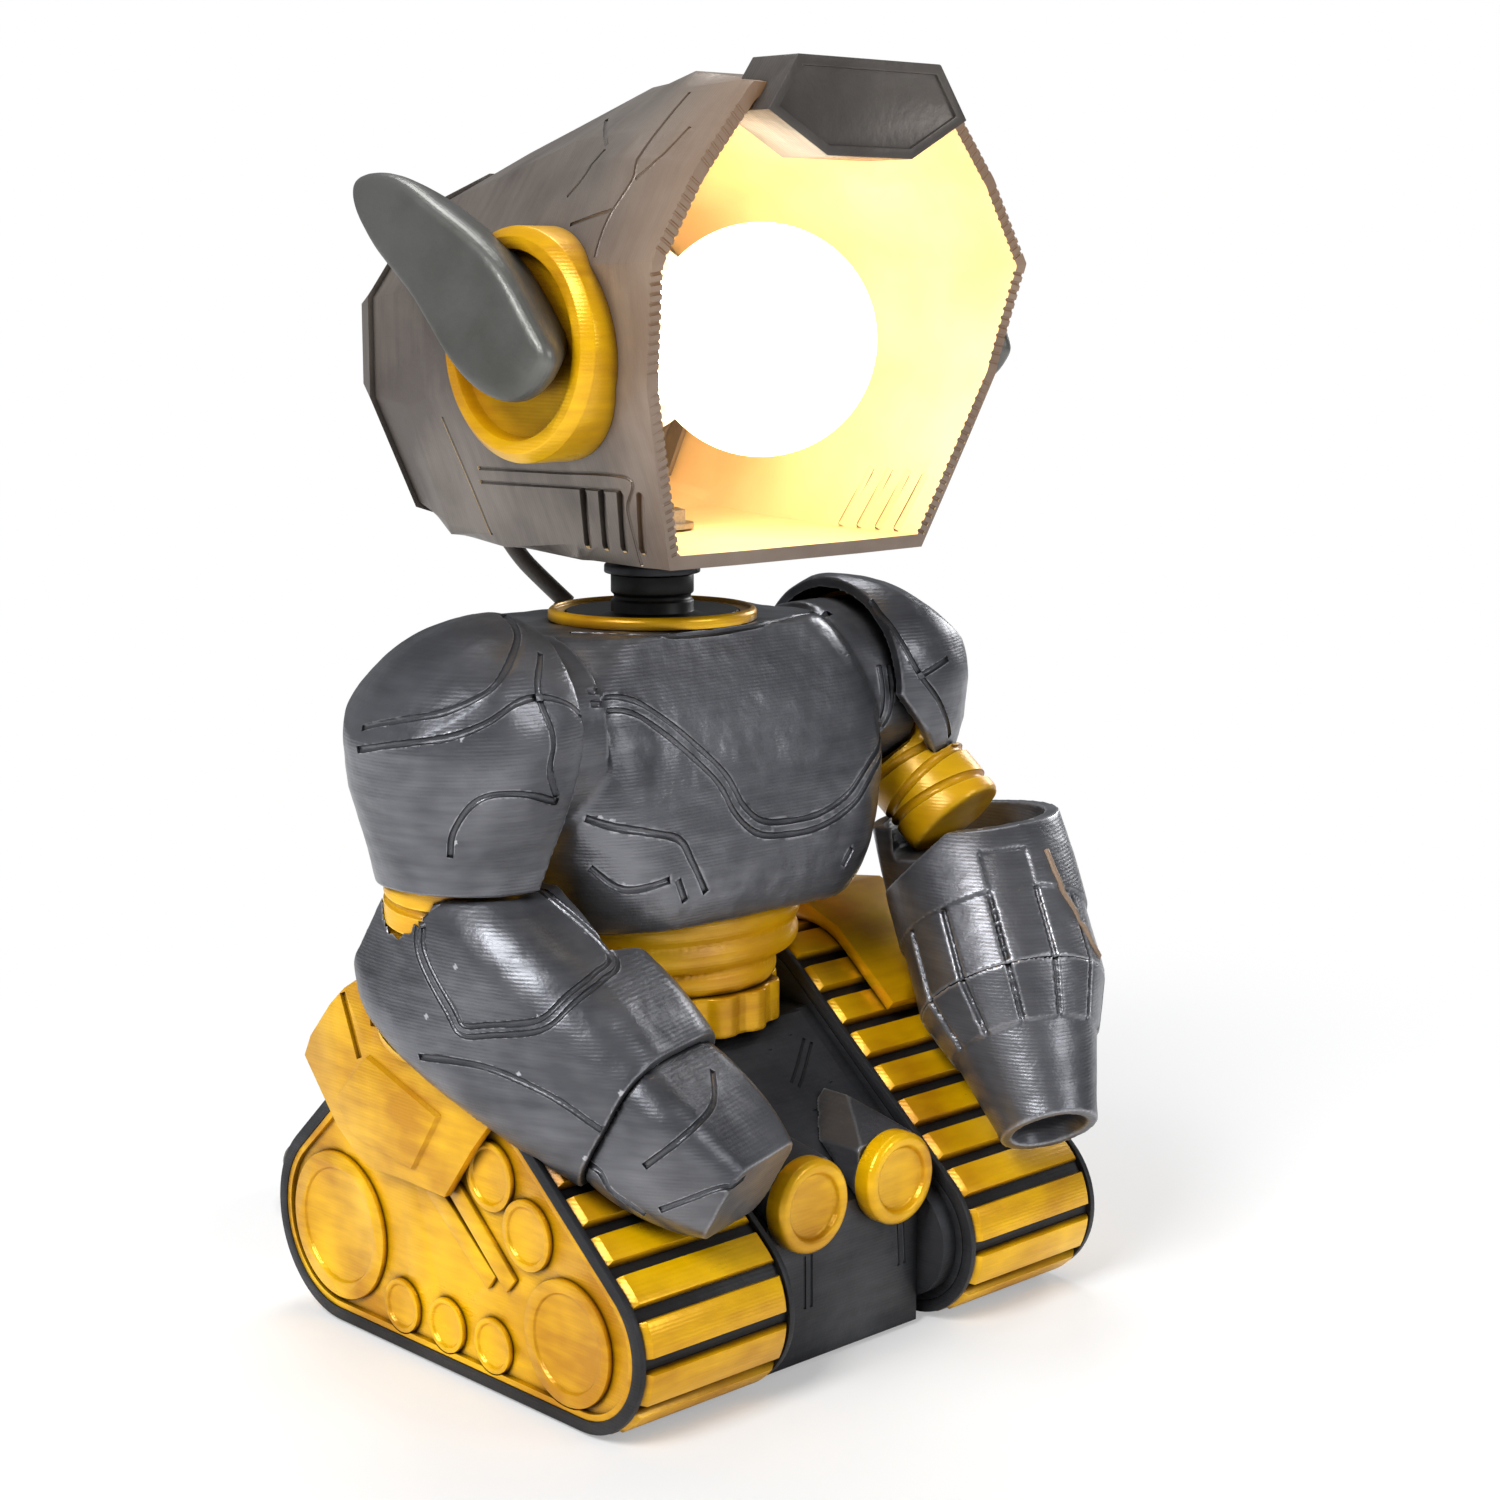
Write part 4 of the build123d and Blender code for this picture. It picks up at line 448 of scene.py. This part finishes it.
# ---------------------------------------------------------------- crisp pieces
# node: width of the bevel that breaks its edges, finish
CRISP = {
    "brow_plate": (0.7, brow_print),
    "mudguard_left": (0.8, yellow_print), "mudguard_right": (0.8, yellow_print),
    "side_plate_left": (0.45, yellow_print), "side_plate_right": (0.45, yellow_print),
    "road_wheels_left": (0.5, yellow_print), "road_wheels_right": (0.5, yellow_print),
    "track_pads_left": (0.6, yellow_print), "track_pads_right": (0.6, yellow_print),
    "track_rams": (0.5, yellow_print), "headlight_caps": (0.5, yellow_print),
    "collar_ring": (0.4, yellow_print),
    "ear_cup_left": (0.8, yellow_print), "ear_cup_right": (0.8, yellow_print),
    "track_belt_left": (0.3, belt_print), "track_belt_right": (0.3, belt_print),
    "neck_post": (0.3, black_plastic), "neck_socket": (0.4, charcoal_print),
    "switch_body": (0.8, black_plastic), "switch_rocker": (0.5, black_plastic),
    "plug_body": (1.0, black_plastic), "helmet_back": (0.6, helmet_print),
}
for node, (width, made_of) in CRISP.items():
    piece = copy_of(node, "seen_" + node)
    round_edges(piece, width)
    smooth(piece)
    dress(piece, made_of)
    finish(piece, node)

# ---------------------------------------------------------------- helmet
# lines on the right side, in millimetres; each is cut on the left side too
RIM = [(-42.6, -43.4, 213.0), (-60.0, -54.2, 257.5), (-64.5, -60.4, 286.0), (-51.4, -61.0, 307.0),
       (-37.0, -61.3, 323.5)]
RIM_PITCH, RIM_TOOTH_LONG, RIM_TOOTH_RADIUS = 2.4, 4.8, 0.55
RIM_END = 1.5                    # left plain at each corner of the rim
HELMET_GROOVE = 0.6
HELMET_LINES = [
    # the seam from the crown down to the temple, and its branches
    [(-35.3, -39.7, 326.8), (-40.1, -39.7, 322.4), (-47.1, -40.1, 316.2), (-53.9, -41.3, 309.6),
     (-56.2, -42.0, 305.3), (-60.3, -38.7, 297.1), (-63.2, -38.2, 291.2), (-65.2, -38.7, 287.1)],
    [(-56.0, -42.9, 305.5), (-52.9, -47.4, 309.9), (-44.7, -50.1, 317.8)],
    [(-59.8, -38.8, 298.2), (-60.4, -31.4, 296.5), (-60.9, -24.5, 294.9)],
    [(-56.4, -18.1, 301.8), (-53.9, -22.4, 307.3), (-49.6, -24.5, 313.3)],
    [(-34.9, -8.3, 321.7), (-48.5, -24.0, 314.3)],
    # the double line over the cheek vents, which runs down behind the rim
    [(-55.7, 20.1, 233.6), (-55.5, -9.1, 234.1), (-54.9, -38.0, 234.0), (-51.9, -34.7, 225.8),
     (-48.0, -33.6, 216.1), (-46.1, -33.3, 211.4)],
    [(-54.1, 21.4, 229.9), (-54.0, -7.2, 230.4), (-53.8, -34.4, 230.6)],
    # the seam below the ear
    [(-60.9, 28.2, 246.7), (-54.7, 26.1, 231.5), (-48.1, 24.3, 215.5)],
]
# a bar in each cheek vent keeps the light in and leaves the vent a groove: the first one, count, step
VENT_BAR = [(-51.0, -40.9, 230.6), (-48.2, -38.0, 222.5), (-45.0, -35.2, 214.6)]
VENT_BARS, VENT_STEP, VENT_BAR_RADIUS = 4, 7, 1.6
HELMET_MIDDLE = (0, -10, 268)
FACES_IN = 0.35                  # cosine above which a face looks at the middle of the helmet


def rim_comb(line):
    """Short rods across the helmet rim, evenly spaced along it, as one tool."""
    rods = []
    for a, b in zip(line, line[1:]):
        a, b = mm(a), mm(b)
        way = (b - a).normalized()
        half = way.cross(Vector((0, 1, 0))).normalized() * RIM_TOOTH_LONG / 2 * MM
        count = round(((b - a).length / MM - 2 * RIM_END) / RIM_PITCH)
        for k in range(count):
            spot = a + way * (RIM_END + (k + 0.5) * RIM_PITCH) * MM
            rods.append(bead("rod", [spot - half, spot + half], RIM_TOOTH_RADIUS))
    return joined(rods)


helmet = copy_of("helmet_shell", "seen_helmet_shell")
for line in (RIM, mirrored(RIM)):
    cut_away(helmet, rim_comb(line), solver="EXACT")
for k in range(VENT_BARS):
    bar = [(x, y + VENT_STEP * k, z) for x, y, z in VENT_BAR]
    for line in (bar, mirrored(bar)):
        cut_away(helmet, bead("bar", trace(line), VENT_BAR_RADIUS), "UNION", "EXACT")
for line in HELMET_LINES:
    for side in (line, mirrored(line)):
        cut_away(helmet, grooves(helmet, [side], HELMET_GROOVE)[0], solver="EXACT")
smooth(helmet)
dress(helmet, helmet_print, cream_inside)
for face in helmet.data.polygons:
    inward = (mm(HELMET_MIDDLE) - face.center).normalized()
    if face.normal.dot(inward) > FACES_IN:
        face.material_index = 1
finish(helmet, "helmet_shell")

# ---------------------------------------------------------------- sculpted pieces
# grooves between the plates, in millimetres, drawn on the surface of their piece
CHEST_LINES = [
    # the right breast plate's lower edge, the hook below it, a nick on the left, the line under the neck
    [(-54.5, -20.2, 146.6), (-48.9, -24.6, 144.2), (-39.4, -28.0, 141.8), (-29.5, -28.5, 138.6),
     (-25.2, -28.7, 131.9), (-20.2, -28.4, 123.1)],
    [(-52.7, -19.8, 133.3), (-45.6, -24.4, 127.2), (-33.1, -28.6, 128.6)],
    [(-30.4, -28.7, 128.2), (-27.5, -28.2, 121.8)],
    [(34.5, -28.4, 127.3), (31.2, -28.2, 122.7)],
    [(-35.9, 7.3, 190.2), (-21.5, -12.2, 190.2), (9.8, -13.6, 189.8), (52.2, -1.9, 189.0)],
]
# the double line that sweeps from the right shoulder under the left breast and up again
CHEST_SWEEP = [(-54.4, -22.5, 178.0), (-39.9, -20.0, 174.2), (-30.7, -22.3, 168.8), (-21.5, -24.9, 160.9),
               (-12.7, -26.9, 152.1), (-7.7, -28.1, 143.6), (-0.8, -28.6, 138.1), (9.2, -28.7, 136.5),
               (21.8, -28.6, 136.9), (33.7, -28.4, 140.9), (43.0, -26.9, 147.9), (59.2, -15.2, 157.9),
               (60.8, -15.1, 174.4)]
# two bands over the right dome, its front edge and the bow on its lower plate
RIGHT_DOME_LINES = [
    [(-65.9, -2.3, 198.3), (-71.4, -14.7, 195.3), (-77.6, -20.8, 191.2), (-85.7, -24.6, 185.0),
     (-91.9, -23.0, 181.3), (-98.1, -17.8, 178.2), (-103.1, -8.3, 175.9), (-105.5, 4.2, 172.7)],
    [(-62.5, -28.9, 174.8), (-67.8, -29.5, 178.5), (-76.2, -29.4, 181.1), (-82.9, -28.7, 180.2),
     (-90.8, -26.9, 176.0), (-98.3, -21.9, 172.8), (-104.5, -12.8, 170.9), (-107.0, 4.5, 167.4)],
    [(-70.1, -22.1, 190.7), (-76.4, -28.9, 182.0), (-74.5, -32.1, 171.3), (-75.4, -31.9, 163.2),
     (-72.6, -31.1, 155.9)],
    [(-95.8, -17.7, 141.9), (-96.3, -19.8, 148.5), (-94.4, -24.3, 155.4), (-89.9, -27.6, 158.2),
     (-81.7, -30.6, 157.6), (-72.0, -30.7, 154.5)],
]
# the edge down the left dome and its short branch
LEFT_DOME_LINES = [
    [(62.4, -7.8, 192.1), (64.1, -18.0, 181.5), (68.0, -22.3, 171.5), (75.8, -22.9, 162.8),
     (83.6, -19.8, 151.7)],
    [(67.3, -22.2, 171.0), (80.0, -22.0, 175.2)],
]
# the six cornered panel on the right forearm and the line below it
GAUNTLET_PANEL = [(-97.2, -6.6, 116.9), (-94.5, -6.5, 125.0), (-84.0, -8.0, 129.0), (-72.0, -14.0, 129.5),
                  (-67.4, -25.4, 126.8), (-63.1, -40.2, 115.8), (-72.1, -46.2, 113.4), (-83.0, -47.6, 109.4),
                  (-89.2, -43.7, 103.5), (-94.0, -30.1, 100.4), (-96.3, -21.9, 99.2), (-96.8, -17.9, 103.6)]
GAUNTLET_LINES = [[(-99.0, -7.6, 89.9), (-97.2, -19.2, 90.9), (-93.8, -30.9, 90.4), (-87.9, -45.6, 85.8),
                   (-81.5, -57.1, 78.4)]]
# the knuckle plate, the edge of the thumb and the line between the fingers
HAND_LINES = [
    [(-75.2, -65.6, 69.7), (-70.4, -73.7, 77.6), (-56.3, -69.9, 82.5), (-48.4, -61.3, 87.7)],
    [(-82.5, -50.0, 68.5), (-79.7, -54.4, 66.7), (-78.3, -56.5, 62.3), (-75.8, -61.0, 59.0),
     (-73.4, -63.8, 56.6)],
    [(-71.9, -67.6, 58.5), (-67.7, -73.9, 61.9), (-63.2, -79.7, 65.0), (-55.1, -80.1, 65.8)],
]


RING_POINTS = 12


def fold_ring(low, high, reach, radius, tilt):
    """A ring round a limb, a distance along it from its high end, tilted a little."""
    low, high = Vector(low), Vector(high)
    way = (low - high).normalized()
    aside = way.orthogonal().normalized()
    up = way.cross(aside)
    ring = []
    for k in range(RING_POINTS):
        turn = 2 * math.pi * k / RING_POINTS
        round_limb = (aside * math.cos(turn) + up * math.sin(turn)) * radius
        ring.append(tuple(high + way * (reach + tilt * math.cos(turn)) + round_limb))
    return ring


# folds round the upper arms: the arm's low and high end, then for each fold its reach and tilt
LEFT_ARM, LEFT_FOLD_RADIUS = ((85, -22, 127), (80, 4, 152)), 15.2
LEFT_FOLDS = [fold_ring(*LEFT_ARM, reach, LEFT_FOLD_RADIUS, tilt)
              for reach, tilt in ((9, 2.5), (15.5, -2.0), (22, 1.5), (28.5, -2.5))]
RIGHT_ARM, RIGHT_FOLD_RADIUS = ((-79, 4, 112), (-82, 0, 150)), 17.4
RIGHT_FOLDS = [fold_ring(*RIGHT_ARM, reach, RIGHT_FOLD_RADIUS, 1.0) for reach in (22, 29.5)]
# a strip along the left forearm where the wax is rubbed off
TAN_STRIP = [(77.2, -62.1, 125.7), (76.4, -67.4, 118.1), (78.0, -71.1, 111.2), (79.9, -74.2, 104.8),
             (80.8, -76.2, 100.0), (84.2, -72.3, 89.1)]
TAN_STRIP_RADIUS = 0.9
# node: voxel, smoothing passes, depth of the dents, finish
SCULPTED = {
    "chest_shell": (1.05, 2, 1.0, grey_print), "pauldron_right": (0.6, 2, 0.8, grey_print),
    "pauldron_left": (0.6, 2, 0.8, grey_print), "gauntlet": (0.5, 5, 0.8, grey_print),
    "hand": (0.6, 2, 0.5, grey_print), "cannon_body": (0.6, 1, 0.3, grey_print),
    "cannon_nozzle": (0.6, 1, 0.3, grey_print), "cannon_fin": (0.6, 2, 0.2, hood_print),
    "ear_horn_left": (0.7, 5, 0.4, horn_print), "ear_horn_right": (0.7, 5, 0.4, horn_print),
    "upper_arm_left": (0.7, 36, 0.0, limb_print), "upper_arm_right": (0.7, 20, 0.0, limb_print),
    "elbow_bulge": (0.7, 16, 0.0, limb_print), "waist_bellows": (0.8, 4, 0.0, limb_print),
    "waist_belt": (0.6, 2, 0.0, yellow_print), "headlight_housings": (0.6, 2, 0.3, hood_print),
}
# node: groove radius, distance between a pair (0 for a single one), closed, lines
GROOVES = {
    "chest_shell": [(1.1, 0, False, CHEST_LINES), (0.9, 3.6, False, [CHEST_SWEEP])],
    "pauldron_right": [(0.9, 0, False, RIGHT_DOME_LINES)],
    "pauldron_left": [(0.9, 0, False, LEFT_DOME_LINES)],
    "gauntlet": [(0.75, 2.6, True, [GAUNTLET_PANEL]), (0.9, 0, False, GAUNTLET_LINES)],
    "hand": [(0.9, 0, False, HAND_LINES)],
    "upper_arm_left": [(1.5, 0, True, LEFT_FOLDS)],
    "upper_arm_right": [(1.3, 0, True, RIGHT_FOLDS)],
}
for node, (voxel, passes, dent, made_of) in SCULPTED.items():
    piece = copy_of(node, "seen_" + node)
    modify(piece, "REMESH", mode="VOXEL", voxel_size=voxel * MM)
    modify(piece, "SMOOTH", factor=0.5, iterations=passes)
    for radius, pair, closed, lines in GROOVES.get(node, []):
        cut_away(piece, joined(grooves(piece, lines, radius, pair, closed)))
    weather(piece, dent)
    dress(piece, made_of)
    if node == "cannon_body":
        strip = bead("tan_strip", seat_line(piece, trace(TAN_STRIP)), TAN_STRIP_RADIUS)
        dress(strip, tan_edge)
        piece = joined([piece, strip])
    finish(piece, node)

# ---------------------------------------------------------------- hull
# double grooves: one bent on each side of the nose, two upright on the front; rivets on the nose
HULL_GROOVE, HULL_PAIR = 0.5, 2.4
HULL_CHECK = [(24.2, -21.9, 73.2), (14.8, -28.3, 67.8), (9.8, -31.4, 65.2)]
HULL_SLOTS = [[(-13.4, -60.0, 30.1), (-13.3, -60.0, 15.5)], [(21.4, -60.0, 31.5), (22.4, -60.0, 18.5)]]
HULL_RIVETS = [(9.5, -21.8, 73.2), (19.4, -19.6, 75.1), (10.7, -38.2, 59.5), (22.0, -33.0, 64.0)]
RIVET_LONG, RIVET_RADIUS, RIVET_SINK = 0.3, 0.8, 0.3

hull = copy_of("hull", "seen_hull")
for line in (HULL_CHECK, mirrored(HULL_CHECK), *HULL_SLOTS):
    for groove in grooves(hull, [line], HULL_GROOVE, HULL_PAIR):
        cut_away(hull, groove, solver="EXACT")
for x, y, z in HULL_RIVETS:
    emboss(hull, [(x, y, z), (x, y + RIVET_LONG, z)], RIVET_RADIUS, RIVET_SINK)
smooth(hull)
dress(hull, charcoal_print)
finish(hull, "hull")

# ---------------------------------------------------------------- camera, floor and light
SENSOR, LENS = 36, 65.6                          # mm
CAMERA_AT = (-0.4952, -0.5443, 0.2814)
LOOKS_DOWN, LOOKS_ASIDE = 9.729, 43.577          # degrees, from level and from the robot's front
camera_data = bpy.data.cameras.new("camera")
camera_data.sensor_width = SENSOR
camera_data.lens = LENS
camera = bpy.data.objects.new("camera", camera_data)
bpy.context.scene.collection.objects.link(camera)
camera.location = CAMERA_AT
camera.rotation_euler = (math.radians(90 - LOOKS_DOWN), 0, math.radians(-LOOKS_ASIDE))
bpy.context.scene.camera = camera
bpy.context.scene.view_settings.view_transform = "Standard"

FLOOR_SIZE, FLOOR_DROP = 6, 0.0002               # metres
FADE_FROM, FADE_TO = 0.12, 0.5                   # metres from the middle: the paper turns plain white


def floor_finish():
    """Matt white paper, which keeps the shadow near the object and is plain white further away."""
    made = bpy.data.materials.new("white_paper_floor")
    made.use_nodes = True
    tree = made.node_tree
    tree.nodes.clear()
    matt = add_node(tree, "ShaderNodeBsdfDiffuse", {"Color": tone("fafafa")})
    own = add_node(tree, "ShaderNodeEmission", {"Color": tone("ffffff"), "Strength": 1.0})
    place = add_node(tree, "ShaderNodeTexCoord").outputs["Object"]
    away = add_node(tree, "ShaderNodeVectorMath", {0: place}, operation="LENGTH")
    far = add_node(tree, "ShaderNodeMapRange", {
        "Value": away.outputs["Value"], "From Min": FADE_FROM, "From Max": FADE_TO,
        "To Min": 0.35, "To Max": 1.0}, interpolation_type="SMOOTHSTEP")
    path = add_node(tree, "ShaderNodeLightPath")
    share = add_node(tree, "ShaderNodeMath", {0: far.outputs[0], 1: path.outputs["Is Camera Ray"]},
                     operation="MULTIPLY")
    seen = add_node(tree, "ShaderNodeMixShader",
                    {"Fac": share.outputs[0], 1: matt.outputs[0], 2: own.outputs[0]})
    add_node(tree, "ShaderNodeOutputMaterial", {"Surface": seen.outputs[0]})
    return made


bpy.ops.object.select_all(action="DESELECT")
bpy.ops.mesh.primitive_plane_add(size=FLOOR_SIZE, location=(0, 0, -FLOOR_DROP))
floor = bpy.context.object
floor.name = "floor"
floor.data.materials.append(floor_finish())

world = bpy.data.worlds.new("studio")
bpy.context.scene.world = world
world.use_nodes = True
sky = world.node_tree
sky.nodes.clear()
path = add_node(sky, "ShaderNodeLightPath")
shown = add_node(sky, "ShaderNodeMath", {
    0: path.outputs["Is Camera Ray"], 1: path.outputs["Is Transmission Ray"]}, operation="MAXIMUM")
room = add_node(sky, "ShaderNodeBackground", {"Color": tone("e8ecf2"), "Strength": 0.22})
white = add_node(sky, "ShaderNodeBackground", {"Color": tone("ffffff"), "Strength": 1.0})
sky_mix = add_node(sky, "ShaderNodeMixShader",
                   {"Fac": shown.outputs[0], 1: room.outputs[0], 2: white.outputs[0]})
add_node(sky, "ShaderNodeOutputWorld", {"Surface": sky_mix.outputs[0]})


def softbox(name, place, aim, size, watts):
    """A square studio light at a place, turned to a point, all in metres."""
    lamp = bpy.data.lights.new(name, "AREA")
    lamp.size = size
    lamp.energy = watts
    thing = bpy.data.objects.new(name, lamp)
    bpy.context.scene.collection.objects.link(thing)
    thing.location = place
    thing.rotation_euler = (Vector(aim) - Vector(place)).to_track_quat("-Z", "Y").to_euler()


softbox("key_light", (-1.15, -0.35, 1.15), (0, 0, 0.12), 0.6, 22)
softbox("fill_light", (0.45, -1.35, 0.75), (0, 0, 0.12), 0.5, 5)
softbox("top_light", (0.35, 0.45, 1.5), (0, 0, 0.15), 0.6, 9)
softbox("side_light", (1.3, 0.2, 0.5), (0, 0, 0.15), 0.4, 5)

# ---------------------------------------------------------------- leads
LEAD_RADIUS = 2.5
# routes in millimetres: head to torso; hull to coil, coil to switch, through the switch, switch to plug
link_points = [(-12.2, 67.0, 214.1), (-9.6, 62.3, 205.5), (-5.6, 55.4, 198.0), (-2.0, 48.8, 191.6)]
hull_points = [(22.0, 92.0, 13.0), (22.8, 100.5, 12.2), (25.8, 110.0, 12.0), (25.3, 120.0, 12.4)]
middle_points = [(2.5, 90.0, 2.6), (12.5, 90.9, 2.6), (24.0, 91.9, 4.2), (35.0, 92.0, 6.5)]
through_switch = [(54.0, 92.0, 6.5), (74.0, 92.0, 6.5)]
plug_points = [(93.0, 92.0, 6.5), (103.0, 92.6, 4.2), (114.0, 98.5, 2.6), (119.5, 110.0, 2.6),
               (117.5, 123.0, 2.6), (109.0, 133.0, 2.6), (97.0, 139.4, 4.2), (85.2, 142.0, 7.0)]
coil_middle = Vector((-9.0, 125.0))
# each turn of the coil: its radius and height, from the top outer turn down to the bottom outer one
coil_turns = [(34, 12.5), (34, 7.5), (29, 7.5), (29, 12.5), (24, 12.5), (24, 7.5), (24, 2.6), (29, 2.6),
              (34, 2.6)]
TURN_POINTS = 24                                 # points of the route in a full turn
COIL_FROM, COIL_SHORT = 8, 66                    # degrees: where it starts and how much its last turn lacks
CHANGES_AT = 0.82                                # share of a turn after which it moves over to the next


def coil_points():
    """The wound length of the mains lead: turns of one radius, each moving over to the next at its end."""
    turns = len(coil_turns) - (COIL_FROM + COIL_SHORT) / 360
    count = round(turns * TURN_POINTS)
    wound = []
    for k in range(count + 1):
        turned = turns * k / count
        level = min(int(turned), len(coil_turns) - 1)
        here, after = coil_turns[level], coil_turns[min(level + 1, len(coil_turns) - 1)]
        change = max(0.0, (turned - level - CHANGES_AT) / (1 - CHANGES_AT))
        change = change * change * (3 - 2 * change)
        radius = here[0] + (after[0] - here[0]) * change
        height = here[1] + (after[1] - here[1]) * change
        angle = math.radians(COIL_FROM) + 2 * math.pi * turned
        spot = coil_middle + radius * Vector((math.cos(angle), math.sin(angle)))
        wound.append((spot.x, spot.y, height))
    return wound


def lay_lead(name, points):
    """A round lead on one smooth NURBS line."""
    curve = bpy.data.curves.new(name, "CURVE")
    curve.dimensions = "3D"
    curve.bevel_depth = LEAD_RADIUS * MM
    curve.bevel_resolution = 4
    curve.use_fill_caps = True
    spline = curve.splines.new("NURBS")
    spline.points.add(len(points) - 1)
    for spot, point in zip(spline.points, points):
        spot.co = (*mm(point), 1)
    spline.order_u = 3
    spline.use_endpoint_u = True
    spline.resolution_u = 4
    lead = bpy.data.objects.new(name, curve)
    bpy.context.scene.collection.objects.link(lead)
    lead.data.materials.append(lead_vinyl)
    return lead


mains_route = hull_points + coil_points() + middle_points + through_switch + plug_points
mains_lead = lay_lead("mains_lead", mains_route)
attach(mains_lead, "base")
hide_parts("mains_lead_hull", "lead_coil", "mains_lead_middle", "mains_lead_plug")

link_lead = lay_lead("link_lead_tube", link_points)
pick(link_lead)
bpy.ops.object.convert(target="MESH")
link_lead = bpy.context.object
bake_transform(link_lead)
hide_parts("link_lead")
